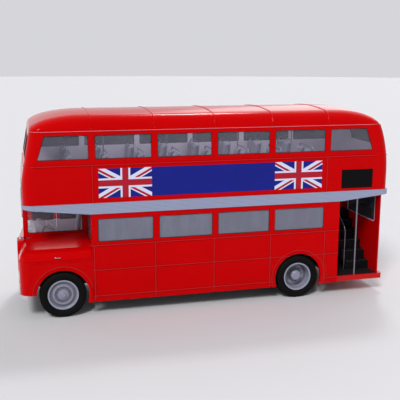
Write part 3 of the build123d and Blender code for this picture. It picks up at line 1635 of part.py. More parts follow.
advert_x = (pillars[-1] + advert_margin, pillars[0] - advert_margin)
advert_z = (deck_z + advert_rise, waist_z - advert_drop)
with BuildPart() as adverts:
    for side in (1, -1):
        block(*advert_x, side * half_width, side * (half_width + panel_proud), *advert_z)
write(adverts, "advert_panels")
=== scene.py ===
"""Looks for the double decker bus: finishes, seats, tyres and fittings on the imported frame."""

import math

import bmesh
import bpy
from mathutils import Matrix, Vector


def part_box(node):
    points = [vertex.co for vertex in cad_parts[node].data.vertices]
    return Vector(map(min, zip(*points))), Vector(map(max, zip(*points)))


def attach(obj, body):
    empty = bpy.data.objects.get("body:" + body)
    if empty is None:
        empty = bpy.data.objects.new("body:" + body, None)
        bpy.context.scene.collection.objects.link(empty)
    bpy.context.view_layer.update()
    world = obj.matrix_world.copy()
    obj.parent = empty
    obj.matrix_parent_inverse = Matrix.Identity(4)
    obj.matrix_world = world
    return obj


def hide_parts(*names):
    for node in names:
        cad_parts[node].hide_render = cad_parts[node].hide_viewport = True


bl_info = {
    "name": "Double Decker Bus",
    "version": (1, 0, 0),
    "blender": (4, 5, 0),
    "location": "3D View > Sidebar > Bus",
    "description": "Finishes, seats, tyres and fittings of a half-cab double decker bus",
    "category": "Object",
}

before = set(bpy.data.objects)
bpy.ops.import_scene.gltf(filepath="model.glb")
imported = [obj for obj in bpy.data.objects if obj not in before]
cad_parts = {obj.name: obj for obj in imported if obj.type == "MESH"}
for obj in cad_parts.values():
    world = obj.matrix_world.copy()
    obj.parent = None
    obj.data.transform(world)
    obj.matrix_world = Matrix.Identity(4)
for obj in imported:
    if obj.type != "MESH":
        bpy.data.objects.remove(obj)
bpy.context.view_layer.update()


def span(node, axis):
    """Lowest and highest place of a carried-over solid along x, y or z."""
    number = "xyz".index(axis)
    low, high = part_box(node)
    return low[number], high[number]


def middle_of(node, axis):
    """Middle of a carried-over solid along x, y or z."""
    return sum(span(node, axis)) / 2


# Places in metres: x runs forward, y to the nearside and z up from the road
front_axle, rear_axle = middle_of("front_tyre_left", "x"), middle_of("rear_tyre_left", "x")
axle_z, tyre_middle = middle_of("front_tyre_left", "z"), middle_of("front_tyre_left", "y")
half_width = span("upper_deck_floor", "y")[1]
wall_inside = span("front_bulkhead", "y")[1]
lower_deck, lower_ceiling = span("platform_bulkhead", "z")
upper_deck, upper_ceiling = span("upper_deck_floor", "z")[1], 4.308
roof_rim = span("roof", "z")[0]
bay = 1.32
pillars = [bay * (2 - i) for i in range(5)]
# Level beads on the side panels, and the rings that the wheel arches' lips and linings follow
bead_heights = (0.432, 1.011, 1.553, 3.278)
waist, upper_waist = bead_heights[2:]
arch_lip, arch_lining = 0.645, 0.5845


def sheen_of(*levels):
    """A colour picked on screen, 0 to 255, as the light it reflects."""
    return tuple(
        c / 255 / 12.92 if c <= 10 else ((c / 255 + 0.055) / 1.055) ** 2.4 for c in levels
    )


def tint(shade, scale):
    """A colour made lighter or darker."""
    return tuple(min(1, c * scale) for c in shade)


def colour(name, description, *levels):
    """A colour that a user may change."""
    return bpy.props.FloatVectorProperty(
        name=name, description=description, subtype="COLOR", size=3, min=0, max=1,
        default=sheen_of(*levels),
    )


def length(name, description, metres):
    """A length that a user may change."""
    return bpy.props.FloatProperty(
        name=name, description=description, default=metres, unit="LENGTH", subtype="DISTANCE",
    )


class BusColours(bpy.types.PropertyGroup):
    """Colours of the bus's finishes"""

    red: colour("Body red", "Gloss paint outside", 196, 1, 3)
    lining: colour("Lining", "Paint on the walls and ceilings inside", 200, 192, 212)
    band: colour("Band", "Moulded band between the decks", 150, 158, 186)
    blue: colour("Side panel", "Field of the long side panels", 0, 18, 128)
    flag_red: colour("Flag red", "Crosses of the flags", 172, 12, 38)
    flag_white: colour("Flag white", "Borders of the flags", 214, 218, 240)
    blind: colour("Blind", "Blank destination blinds", 7, 7, 9)
    pane: colour("Lower panes", "Greyed glass of the lower deck", 124, 126, 144)
    upper_pane: colour("Upper panes", "Clearer glass of the upper deck", 150, 150, 166)
    # painted shade: the dark colour given to the offside and rear panes
    far_pane: colour("Far panes", "Darkened glass of the offside and back", 22, 24, 31)
    cloth: colour("Seat cloth", "Ground of the seat cloth", 110, 124, 152)
    cloth_stripe: colour("Seat stripe", "Pattern in the seat cloth", 142, 104, 124)
    steel: colour("Steel", "Poles and seat rails", 138, 138, 150)
    wheel: colour("Wheels", "Paint on the wheels", 138, 140, 158)
    rubber: colour("Rubber", "Tyres and window rubbers", 6, 6, 7)
    floor: colour("Floor covering", "Ribbed covering on both decks", 62, 60, 62)
    black: colour("Black paint", "Stairs and chassis", 20, 20, 22)
    iron: colour("Iron", "Engine and gearbox", 96, 99, 104)
    ground: colour("Ground", "Studio floor and background", 214, 214, 218)


class BusSizes(bpy.types.PropertyGroup):
    """Sizes of the pieces added to the frame"""

    tread_depth: length("Tread depth", "Depth of the grooves in the tyres", 0.010)
    seat_voxel: length("Seat voxel", "Fineness of the padded seats", 0.028)
    seat_swell: length("Seat swell", "How far a pad may bulge", 0.022)
    rail_radius: length("Rail radius", "Radius of the poles and of the rails on the seats", 0.014)
    lens: bpy.props.FloatProperty(
        name="Lens", description="Focal length of the camera", default=63.97, unit="CAMERA",
    )


class Signal:
    """One socket of a finish, on which sums are written as they are on paper."""

    def __init__(self, finish, socket):
        self.finish = finish
        self.socket = socket

    def math(self, operation, *others):
        terms = dict(enumerate((self, *others)))
        return self.finish.node("ShaderNodeMath", {"operation": operation}, terms)

    def __add__(self, other):
        return self.math("ADD", other)

    def __radd__(self, other):
        return self.math("ADD", other)

    def __sub__(self, other):
        return self.math("SUBTRACT", other)

    def __rsub__(self, other):
        return self.finish.node("ShaderNodeMath", {"operation": "SUBTRACT"}, {0: other, 1: self})

    def __mul__(self, other):
        return self.math("MULTIPLY", other)

    def __truediv__(self, other):
        return self.math("DIVIDE", other)

    def __lt__(self, other):
        return self.math("LESS_THAN", other)

    def __gt__(self, other):
        return self.math("GREATER_THAN", other)

    def __abs__(self):
        return self.math("ABSOLUTE")

    def least(self, other):
        return self.math("MINIMUM", other)

    def most(self, other):
        return self.math("MAXIMUM", other)

    def wave(self):
        """0 to 1 and back as the value grows by 1."""
        return (self * (2 * math.pi)).math("SINE") * 0.5 + 0.5

    def ease(self, low, high):
        """0 below low, 1 above high, smooth between; low may be the larger."""
        return self.finish.node(
            "ShaderNodeMapRange", {"interpolation_type": "SMOOTHSTEP"},
            {"Value": self, "From Min": low, "From Max": high},
        )

    def also(self, output):
        """Another output of the same node."""
        return Signal(self.finish, self.socket.node.outputs[output])


class Nodes:
    """A node tree in the making."""

    def __init__(self, tree):
        self.tree = tree

    def plug(self, socket, value):
        """Links a signal to a socket, or sets a number or a colour on it."""
        if isinstance(value, Signal):
            self.tree.links.new(value.socket, socket)
        elif socket.type == "RGBA":
            socket.default_value = (*value, 1)[:4]
        else:
            socket.default_value = value

    def node(self, kind, settings=None, sockets=None, output=0):
        """Adds one node: its settings first, then the values or links of its sockets."""
        made = self.tree.nodes.new(kind)
        for name, value in (settings or {}).items():
            setattr(made, name, value)
        for key, value in (sockets or {}).items():
            self.plug(made.inputs[key], value)
        return Signal(self, made.outputs[output]) if made.outputs else None


class Finish(Nodes):
    """A material in the making."""

    def __init__(self, name):
        self.material = bpy.data.materials.new(name)
        self.material.use_nodes = True
        super().__init__(self.material.node_tree)
        self.shader = self.tree.nodes["Principled BSDF"]
        self.place = self.node("ShaderNodeTexCoord", output="Object")
        self.x = self.node("ShaderNodeSeparateXYZ", sockets={0: self.place}, output="X")
        self.y, self.z = self.x.also("Y"), self.x.also("Z")

    def noise(self, scale, detail=3.0, stretch=(1, 1, 1)):
        """Soft noise, 0 to 1, over the piece."""
        where = self.node("ShaderNodeMapping", {}, {"Vector": self.place, "Scale": stretch})
        return self.node("ShaderNodeTexNoise", {}, {"Vector": where, "Scale": scale, "Detail": detail})

    def mix(self, a, b, factor):
        """Colour a where factor is 0, b where it is 1."""
        return self.node("ShaderNodeMix", {"data_type": "RGBA"}, {0: factor, 6: a, 7: b}, output=2)

    def shades(self, shade, dark, light, factor):
        """One colour that runs from a darker shade of itself to a lighter one."""
        return self.mix(tint(shade, dark), tint(shade, light), factor)

    def facing(self):
        """Parts of the direction a face looks in, along x, y and z."""
        normal = self.node("ShaderNodeTexCoord", output="Normal")
        x = self.node("ShaderNodeSeparateXYZ", sockets={0: normal}, output="X")
        return x, x.also("Y"), x.also("Z")

    def from_axle(self, axle_x):
        """Distance from an axle, seen from the side."""
        return ((self.x - axle_x).math("POWER", 2) + (self.z - axle_z).math("POWER", 2)).math("SQRT")

    def bump(self, height, distance, strength=1.0):
        """A surface raised by height, 0 to 1, times distance."""
        return self.node(
            "ShaderNodeBump", {}, {"Height": height, "Distance": distance, "Strength": strength},
        )

    def surface(self, **sockets):
        """Sets or links the shader's sockets; underscores stand for spaces."""
        for key, value in sockets.items():
            self.plug(self.shader.inputs[key.replace("_", " ")], value)
        return self.material


def road_dust(f, grit):
    """How much dust the road has left, most of it low down."""
    return f.z.ease(0.75, 0.30) * grit.ease(0.4, 0.8)


def red_coat(f, colours, drift, dust):
    """Red paint that drifts a little in shade, browned by dust."""
    coat = f.shades(colours.red, 0.92, 1.06, drift)
    return f.mix(coat, sheen_of(92, 36, 32), dust * 0.16)


def red_gloss(f, coat, dull):
    """The surface of the red paint: glossy, faintly uneven, with its shine tinted red."""
    return f.surface(
        Base_Color=coat, Roughness=dull, Specular_IOR_Level=0.16, Specular_Tint=(1, 0.20, 0.22),
        Normal=f.bump(f.noise(160, 2), 0.0003, 0.2),
    )


def bead_highlight_and_shade(f, colours, coat, away):
    """Coach paint with a painted highlight on a bead's crest and a painted shadow line beside it."""
    outer = (abs(f.y) > half_width - 0.002) * (0.55 + f.noise(3, 3) * 0.7)
    # painted shadow: a darker red line beside each bead and round the arch lip
    coat = f.mix(coat, tint(colours.red, 0.5), away.ease(0.036, 0.020) * outer * 0.6)
    # painted highlight: pale pink along each bead's crest and the arch lip
    return f.mix(coat, sheen_of(232, 70, 76), away.ease(0.015, 0.003) * outer * 0.30)


def from_bead(f):
    """Distance from the nearest panel bead or from the lip of the rear arch."""
    away = abs(f.from_axle(rear_axle) - arch_lip)
    for height in bead_heights:
        away = away.least(abs(f.z - height))
    by_windows = (f.z > waist) * (f.z < upper_deck)
    by_panels = (f.z > upper_deck) * (abs(abs(f.x) - pillars[0]) > 0.1)
    no_upright = by_windows.most(by_panels).most(f.z > upper_waist)
    return away.least(f.x.math("PINGPONG", bay / 2) + no_upright)


def red_paint(colours, inside):
    """Gloss coach paint, with the lining's colour on the faces that look into the bus, and painted
    shade, near black, on those below the floor.
    """
    f = Finish("red_paint_" + inside)
    nx, ny, nz = f.facing()
    dash_top, underside = 1.66, 0.66
    lined = {
        "sides": (ny * f.y) < -0.35,
        "ends": (nx * f.x * 0.25 + ny * f.y * 0.3) < -0.15,
        "roof": nz < -0.1,
        "cab": ((ny * f.y) < -0.35) * (f.z < dash_top),
        "none": None,
    }[inside]
    drift = f.noise(1.1, 2)
    fine = f.noise(34, 4)
    dust = road_dust(f, fine)
    coat = red_coat(f, colours, drift, dust)
    if inside == "sides":
        # painted highlights on the beads' crests, with painted shadow lines beside them
        coat = bead_highlight_and_shade(f, colours, coat, from_bead(f))
    dull = 0.12 + drift * 0.05 + dust * 0.20
    if lined is not None:
        lining = f.shades(colours.lining, 0.92, 1.05, fine)
        # painted shade: inside faces below the floor are near black instead of lining
        lining = f.mix(lining, tint(colours.black, 0.6), f.z < underside)
        coat = f.mix(coat, lining, lined)
        dull = dull + lined * 0.3
    return red_gloss(f, coat, dull)


def wing_paint(colours):
    """Gloss red outside; under the arches painted shade, near black and mottled with road dirt."""
    f = Finish("wing_paint")
    drift = f.noise(1.1, 2)
    dirt = f.noise(16, 5)
    radius = f.from_axle(front_axle)
    skirt = 0.3
    under = (abs(f.y) < wall_inside + 0.001) * (radius < arch_lining) * (f.z > skirt)
    coat = red_coat(f, colours, drift, road_dust(f, dirt))
    # painted highlight on the arch lip, with a painted shadow line round it
    coat = bead_highlight_and_shade(f, colours, coat, abs(radius - arch_lip))
    # painted shade under the arches: near black, mottled with real road dirt
    shadow = f.mix(tint(colours.black, 0.4), sheen_of(40, 36, 33), dirt)
    return red_gloss(f, f.mix(coat, shadow, under), 0.12 + drift * 0.05 + under * 0.6)


def band_paint(colours):
    """Grey band with fine level mouldings along it, with painted shade in their hollows and a painted
    highlight on their crests.
    """
    f = Finish("band_paint")
    ridge = (f.z / 0.0285).wave()
    wear = f.noise(5, 4, (0.35, 1, 1))
    # painted shade in the mouldings' hollows and a painted highlight on their crests
    base = f.shades(colours.band, 0.80, 1.08, ridge.ease(0.1, 0.8))
    base = f.mix(base, tint(colours.band, 0.72), wear.ease(0.55, 0.85) * 0.35)
    return f.surface(
        Base_Color=base, Roughness=0.30 + wear * 0.15, Specular_IOR_Level=0.3,
        Normal=f.bump(ridge, 0.004, 0.6),
    )


def side_panel(colours):
    """Blue field with a flag at each end: a diagonal cross under an upright one."""
    f = Finish("side_panel")
    half_wide, half_high, middle_x, middle_z = 0.565, 0.31, 1.95, 2.89
    # Half widths of the white and red upright arms and of the white diagonals; the red ones' width
    white_arm, red_arm, white_slant, red_slant = 0.105, 0.066, 0.072, 0.046
    u = (abs(f.x) - middle_x) / half_wide
    v = (f.z - middle_z) / half_high
    on_flag = abs(u) < 1
    away = (abs(u) - abs(v)) * half_high / math.hypot(1, half_high / half_wide)
    white_diagonal = abs(away) < white_slant
    right_half, rising = (u > 0) * 2 - 1, ((u * v) > 0) * 2 - 1
    shift = away * right_half * rising
    red_diagonal = (shift > 0) * (shift < red_slant)
    beside, above = abs(u) * half_wide, abs(v) * half_high
    white_cross = (beside < white_arm).most(above < white_arm)
    red_cross = (beside < red_arm).most(above < red_arm)
    white = white_diagonal.most(white_cross)
    red = (red_diagonal * (1 - white_cross)).most(red_cross)
    fade = f.noise(3.2, 4, (0.4, 1, 1))
    field = f.shades(colours.blue, 0.86, 1.12, fade)
    base = f.mix(field, colours.flag_white, white * on_flag)
    base = f.mix(base, colours.flag_red, red * on_flag)
    return f.surface(
        Base_Color=base, Roughness=0.34 + fade * 0.12, Specular_IOR_Level=0.25,
        Normal=f.bump(f.noise(90, 2), 0.0004, 0.3),
    )


def glass(colours, deck):
    """Greyed window glass with faint wiped streaks, and painted shade: the panes along the offside and
    at the back are made dark.
    """
    f = Finish("glass_" + deck)
    shade, cover = {
        "lower": (colours.pane, 0.74),
        "upper": (colours.upper_pane, 0.14),
        "cab": (colours.upper_pane, 0.16),
    }[deck]
    far_cover, offside, rear = 0.93, -1.1, -3.95
    # painted shade: the offside and rear panes are dark and denser, for the shade seen through them
    shaded = (f.y < offside).most(f.x < rear)
    smear = f.noise(2.2, 5, (2.4, 1, 0.7)).ease(0.42, 0.78)
    base = f.shades(shade, 0.98, 1.07, smear)
    base = f.mix(base, colours.far_pane, shaded * 0.9)
    return f.surface(
        Base_Color=base, Roughness=0.05 + smear * 0.10, Specular_IOR_Level=0.35,
        Alpha=cover + smear * 0.05 + shaded * (far_cover - cover),
    )


def painted(name, shade, rough, grit=60, depth=0.0006, specular=0.35):
    """Paint or metal with broad and fine mottling and a fine grain."""
    f = Finish(name)
    broad = f.noise(4, 3)
    fine = f.noise(grit, 4)
    base = f.shades(shade, 0.82, 1.15, broad * 0.6 + fine * 0.4)
    return f.surface(
        Base_Color=base, Roughness=rough + (fine - 0.5) * 0.18, Specular_IOR_Level=specular,
        Normal=f.bump(fine, depth, 0.5),
    )


def ribbed_floor(colours):
    """Ribbed covering, worn pale down the gangway, with painted shade in the ribs' hollows and painted
    shade, near black, below it and over the rear wheels.
    """
    f = Finish("floor_covering")
    rib_pitch = 0.034
    # The wheel boxes: half their length, their inner side and just under their top
    box_half, box_side, box_top = 0.60, 0.567, 1.052
    rib = (f.y / rib_pitch).wave()
    scuff = f.noise(6, 5)
    trodden = abs(f.y).ease(0.30, 0.05) * scuff.ease(0.35, 0.7)
    # painted shade in the ribs' hollows, lighter on their crests
    base = f.shades(colours.floor, 0.72, 1.2, rib.ease(0.15, 0.6))
    base = f.mix(base, sheen_of(128, 120, 112), trodden * 0.35)
    over_wheels = (abs(f.x - rear_axle) < box_half) * (abs(f.y) > box_side) * (f.z < box_top)
    below = f.z < lower_deck - 0.01
    # painted shade: near black below the floor and inside the wheel boxes over the rear wheels
    base = f.mix(base, tint(colours.black, 0.5), over_wheels.most(below))
    return f.surface(
        Base_Color=base, Roughness=0.62 + scuff * 0.2, Specular_IOR_Level=0.25,
        Normal=f.bump(rib, 0.004, 0.7),
    )


def stair_paint(colours):
    """Black stairs with ribbed treads, scuffed grey where they are trodden."""
    f = Finish("stair_black")
    tread = f.facing()[2] > 0.8
    rib_pitch = 0.028
    scuff = f.noise(14, 5)
    base = f.shades(colours.black, 0.35, 0.9, scuff)
    base = f.mix(base, sheen_of(46, 44, 44), tread * scuff.ease(0.45, 0.7) * 0.6)
    return f.surface(
        Base_Color=base, Roughness=0.5 + scuff * 0.25, Specular_IOR_Level=0.1,
        Normal=f.bump((f.y / rib_pitch).wave(), 0.003, 0.5),
    )


def platform_paint(colours):
    """Red platform with a black ribbed mat let into its top, bare at the rounded lip; the mat has
    painted shade between its ribs and a painted highlight on them.
    """
    f = Finish("platform")
    rib_pitch, mat_side, mat_back = 0.034, 1.118, -4.075
    scuff = f.noise(11, 5)
    rib = (f.x / rib_pitch).wave()
    matted = (f.facing()[2] > 0.8) * (f.y < mat_side) * (f.x > mat_back)
    red = f.shades(colours.red, 0.86, 1.02, scuff)
    # painted shade between the mat's ribs and a painted highlight on them, mixed with scuffing
    mat = f.shades(colours.black, 0.35, 1.3, rib * 0.6 + scuff * 0.4)
    return f.surface(
        Base_Color=f.mix(red, mat, matted), Roughness=0.30 + matted * 0.35 + scuff * 0.1,
        Specular_IOR_Level=0.25, Normal=f.bump(rib * matted, 0.003, 0.6),
    )


def cab_floor_paint(colours):
    """Dark cab floor, and a pale crackle-finished dash above it."""
    f = Finish("cab_floor")
    grain = f.noise(70, 4)
    scuff = f.noise(9, 5)
    dash_foot = 1.42
    low = f.shades(colours.floor, 0.6, 1.15, scuff)
    pale = f.mix(sheen_of(176, 174, 182), sheen_of(208, 206, 214), grain)
    return f.surface(
        Base_Color=f.mix(low, pale, f.z > dash_foot), Roughness=0.55 + scuff * 0.2,
        Specular_IOR_Level=0.25, Normal=f.bump(grain, 0.0008, 0.5),
    )


def end_of(axle_x):
    """Which end of the bus an axle is at."""
    return "front" if axle_x > 0 else "rear"


def wheel_paint(colours, axle_x):
    """Grey wheel paint, with painted shade in the grooves between its rings and a painted highlight on
    their crests.
    """
    f = Finish("wheel_paint_" + end_of(axle_x))
    radius = f.from_axle(axle_x)
    grime_and_shade = f.noise(18, 5)
    outer_groove = radius.ease(0.222, 0.236) * radius.ease(0.285, 0.268)
    inner_groove = radius.ease(0.112, 0.124) * radius.ease(0.184, 0.168)
    crest = radius.ease(0.290, 0.300)
    base = f.shades(colours.wheel, 0.86, 1.12, grime_and_shade)
    # painted shade in the grooves between the rings, its depth varied by the grime noise
    base = f.mix(base, tint(colours.wheel, 0.30), (outer_groove + inner_groove) * (0.45 + grime_and_shade * 0.5))
    # painted highlight on the rim's crest
    base = f.mix(base, tint(colours.wheel, 1.35), crest * 0.5)
    return f.surface(
        Base_Color=base, Roughness=0.30 + grime_and_shade * 0.2, Specular_IOR_Level=0.4,
        Normal=f.bump(grime_and_shade, 0.0006, 0.4),
    )


def seat_cloth(colours):
    """Cut-pile seat cloth: small checks with a second colour, and a woven grain."""
    f = Finish("seat_cloth")
    thread, check_size = 0.006, 0.11
    weave = (f.x / thread).wave() * 0.5 + (f.y / thread).wave() * 0.3 + (f.z / thread).wave() * 0.2
    slanted = (f.x / check_size + f.z / check_size).wave()
    check = ((f.y / check_size).wave() > 0.72).most(slanted > 0.78)
    pile = f.noise(45, 4)
    base = f.shades(colours.cloth, 0.82, 1.16, pile)
    base = f.mix(base, colours.cloth_stripe, check * 0.55)
    base = f.mix(base, tint(colours.cloth, 0.55), weave.ease(0.62, 0.95) * 0.3)
    return f.surface(
        Base_Color=base, Roughness=0.85 + pile * 0.1, Specular_IOR_Level=0.1,
        Sheen_Weight=0.25, Sheen_Roughness=0.5, Normal=f.bump(weave + pile, 0.002, 0.5),
    )


def tyre_rubber(colours, axle_x):
    """Black rubber with fine rings on the sidewall and dust in the tread."""
    f = Finish("tyre_rubber_" + end_of(axle_x))
    ring_pitch = 0.011
    radius = f.from_axle(axle_x)
    ring = (radius / ring_pitch).wave() * radius.ease(0.455, 0.445)
    dust = f.noise(22, 5)
    base = f.shades(colours.rubber, 0.7, 1.3, dust)
    base = f.mix(base, sheen_of(74, 70, 66), dust.ease(0.5, 0.8) * radius.ease(0.42, 0.5) * 0.14)
    return f.surface(
        Base_Color=base, Roughness=0.62 + dust * 0.2, Specular_IOR_Level=0.12,
        Normal=f.bump(ring + dust * 0.4, 0.003, 0.5),
    )


def lens_glass(name, shade, pitch):
    """Fluted lamp lens, with painted shade in the flutes' hollows."""
    f = Finish(name)
    flute = (f.y / pitch).wave()
    # painted shade in the flutes' hollows
    base = f.mix(tint(shade, 0.7), shade, flute.ease(0.1, 0.7))
    return f.surface(
        Base_Color=base, Roughness=0.10 + flute * 0.05, Coat_Weight=0.5,
        Normal=f.bump(flute, 0.004, 0.8),
    )


def bright_metal(name, shade, rough):
    """Polished metal with fine brushing."""
    f = Finish(name)
    brush = f.noise(90, 3, (1, 1, 0.06))
    base = f.shades(shade, 0.85, 1.08, brush)
    return f.surface(Base_Color=base, Metallic=0.85, Roughness=rough + brush * 0.12)


def finish_of(node, material):
    """Gives a carried-over solid its finish."""
    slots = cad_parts[node].data.materials
    slots.clear()
    slots.append(material)


class BUS_OT_finishes(bpy.types.Operator):
    """Give every carried-over solid its finish"""

    bl_idname = "bus.finishes"
    bl_label = "Finishes"

    def execute(self, context):
        c = context.scene.bus_colours
        given = {
            red_paint(c, "sides"): (
                "upper_nearside_wall", "upper_offside_wall", "lower_nearside_wall", "lower_offside_wall",
            ),
            red_paint(c, "ends"): (
                "upper_front_wall", "upper_rear_wall", "emergency_sash", "front_bulkhead",
            ),
            red_paint(c, "roof"): ("roof",),
            red_paint(c, "cab"): ("cab_shell", "cab_door"),
            red_paint(c, "none"): ("bonnet", "radiator_cowl", "lower_rear_wall", "platform_bulkhead"),
            wing_paint(c): ("front_wings",),
            band_paint(c): ("deck_band",),
            side_panel(c): ("advert_panels",),
            painted("blind_black", c.blind, 0.3, 30, 0.0002, specular=0.08): ("blind_panels",),
            glass(c, "lower"): ("lower_glass",),
            glass(c, "upper"): ("upper_glass", "emergency_glass"),
            glass(c, "cab"): ("cab_glass", "cab_door_glass"),
            ribbed_floor(c): ("lower_deck_floor", "upper_deck_floor"),
            cab_floor_paint(c): ("cab_floor",),
            platform_paint(c): ("rear_platform",),
            stair_paint(c): ("staircase",),
            bright_metal("grey_steel", c.steel, 0.30): ("platform_pole", "seat_frames"),
            bright_metal("chrome_trim", sheen_of(215, 215, 222), 0.12): ("radiator_slats",),
            painted("bumper_grey", sheen_of(190, 190, 198), 0.3): ("front_bumper",),
            lens_glass("lamp_glass", sheen_of(225, 228, 236), 0.017): ("head_lamps",),
            lens_glass("lamp_red", sheen_of(170, 14, 14), 0.012): ("tail_lamps",),
            seat_cloth(c): ("upper_seats", "lower_seats"),
            painted("steering_wheel", sheen_of(166, 163, 172), 0.35): ("steering_wheel",),
            painted("chassis_black", c.black, 0.55): (
                "chassis_frame", "fuel_tank", "front_axle", "rear_axle",
                "steering_knuckle_left", "steering_knuckle_right",
            ),
            painted("engine_iron", c.iron, 0.6, 25, 0.002): ("engine", "gearbox_and_shaft"),
            wheel_paint(c, front_axle): ("front_wheel_left", "front_wheel_right"),
            wheel_paint(c, rear_axle): ("rear_wheel_left", "rear_wheel_right"),
            tyre_rubber(c, front_axle): ("front_tyre_left", "front_tyre_right"),
            tyre_rubber(c, rear_axle): ("rear_tyre_left", "rear_tyre_right"),
        }
        for material, nodes in given.items():
            for node in nodes:
                finish_of(node, material)
        bare = set(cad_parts) - {n for nodes in given.values() for n in nodes}
        if bare:
            raise RuntimeError(f"no finish for {sorted(bare)}")
        return {"FINISHED"}


def deselect():
    """Leaves edit mode with nothing selected."""
    if bpy.context.object and bpy.context.object.mode != "OBJECT":
        bpy.ops.object.mode_set(mode="OBJECT")
    bpy.ops.object.select_all(action="DESELECT")


def choose(*pieces):
    """Selects pieces and makes the first of them active."""
    deselect()
    for piece in pieces:
        piece.select_set(True)
    bpy.context.view_layer.objects.active = pieces[0]


def start(kind, **settings):
    """Adds a primitive at its size and place and opens it in edit mode."""
    deselect()
    getattr(bpy.ops.mesh, f"primitive_{kind}_add")(**settings)
    bpy.ops.object.transform_apply(location=True, rotation=True, scale=True)
    bpy.ops.object.mode_set(mode="EDIT")
    bpy.ops.mesh.select_mode(type="VERT")
    bpy.ops.mesh.select_all(action="SELECT")
    return bpy.context.object


def start_block(low, high):
    """A block between two corners, open in edit mode."""
    low, high = Vector(low), Vector(high)
    return start("cube", size=1, location=(low + high) / 2, scale=high - low)


def start_line(points, closed=False):
    """A line of edges through points, drawn by extruding one corner from point to point."""
    piece = start("plane", size=0.001, location=points[0])
    bpy.ops.mesh.merge(type="CENTER")
    for a, b in zip(points, points[1:]):
        step = Vector(b) - Vector(a)
        bpy.ops.mesh.extrude_region_move(TRANSFORM_OT_translate={"value": step})
    if closed:
        ends(piece, points[0], points[-1])
        bpy.ops.mesh.edge_face_add()
    return piece


def ends(piece, *places):
    """Selects the corners that lie at these places."""
    bpy.ops.mesh.select_mode(type="VERT")
    bpy.ops.mesh.select_all(action="DESELECT")
    mesh = bmesh.from_edit_mesh(piece.data)
    for place in places:
        min(mesh.verts, key=lambda v: (v.co - Vector(place)).length).select_set(True)
    mesh.select_flush(True)
    bmesh.update_edit_mesh(piece.data)


def pick(piece, test):
    """Selects the faces whose middle and direction pass the test."""
    bpy.ops.mesh.select_mode(type="FACE")
    bpy.ops.mesh.select_all(action="DESELECT")
    mesh = bmesh.from_edit_mesh(piece.data)
    for face in mesh.faces:
        face.select_set(bool(test(face.calc_center_median(), face.normal)))
    bmesh.update_edit_mesh(piece.data)


def lathe(centre, axis, steps):
    """Turns the drawn line a full turn about an axis and closes its seam."""
    bpy.ops.mesh.select_all(action="SELECT")
    bpy.ops.mesh.spin(steps=steps, angle=2 * math.pi, center=centre, axis=axis)
    bpy.ops.mesh.select_all(action="SELECT")
    bpy.ops.mesh.remove_doubles(threshold=0.0002)
    bpy.ops.mesh.normals_make_consistent(inside=False)


def tube(points, radius, bend, closed=False):
    """A round bar along points, its corners bent to a radius."""
    piece = start_line(points, closed)
    inner = points if closed else points[1:-1]
    if inner:
        ends(piece, *inner)
        bpy.ops.mesh.bevel(affect="VERTICES", offset=bend, segments=5)
    bpy.ops.object.mode_set(mode="OBJECT")
    bpy.ops.object.convert(target="CURVE")
    curve = bpy.context.object.data
    curve.bevel_depth = radius
    curve.bevel_resolution = 2
    curve.use_fill_caps = True
    bpy.ops.object.convert(target="MESH")
    return bpy.context.object


def copy_of(piece, move, flip=False):
    """A copy with its own mesh, moved, and mirrored across the bus if flip is set."""
    choose(piece)
    bpy.ops.object.duplicate()
    twin = bpy.context.object
    bpy.ops.object.mode_set(mode="EDIT")
    bpy.ops.mesh.select_all(action="SELECT")
    bpy.ops.transform.translate(value=move)
    if flip:
        bpy.ops.transform.resize(value=(1, -1, 1), center_override=(0, 0, 0))
        bpy.ops.mesh.flip_normals()
    bpy.ops.object.mode_set(mode="OBJECT")
    return twin


def join(pieces):
    """Joins pieces into the first."""
    choose(*pieces)
    bpy.ops.object.join()
    return pieces[0]


def slab(low, high, rounding):
    """A block with every edge rounded."""
    piece = start_block(low, high)
    bpy.ops.mesh.bevel(affect="EDGES", offset=rounding, segments=2)
    bpy.ops.object.mode_set(mode="OBJECT")
    return piece


def turned(profile, centre, axis, steps=32):
    """A piece turned about an axis; the profile gives radius and place along the axis.

    A profile that starts away from the axis is a ring's section, and is closed."""
    axis, centre = Vector(axis), Vector(centre)
    out = axis.orthogonal().normalized()
    is_ring = profile[0][0] > 0
    piece = start_line([centre + out * r + axis * h for r, h in profile], is_ring)
    lathe(centre, axis, steps)
    bpy.ops.object.mode_set(mode="OBJECT")
    return piece


def settle(piece, name, body, material, angle=35):
    """Names a finished piece, gives it its finish and lets it ride on its body."""
    choose(piece)
    bpy.ops.object.shade_smooth_by_angle(angle=math.radians(angle))
    piece.name = name
    piece.data.materials.clear()
    piece.data.materials.append(material)
    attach(piece, body)


twin_step = 0.29
# columns: radius, distance from the tyre's middle, for one half
tyre_side = (
    (0.3145, 0.078), (0.327, 0.0865), (0.350, 0.101), (0.385, 0.1185), (0.420, 0.1242),
    (0.452, 0.1228), (0.476, 0.1145), (0.490, 0.101), (0.4975, 0.088),
)
tread_line = (
    (0.4992, 0.060), (0.4900, 0.058), (0.4900, 0.052), (0.4996, 0.050), (0.5, 0.020),
    (0.4910, 0.018), (0.4910, 0.012), (0.5, 0.010),
)
# Faces round the tyre, and one in how many of them is a slot across the shoulder
tread_steps, slot_every = 96, 3
shoulder_radius, shoulder_from, shoulder_to = 0.488, 0.060, 0.100


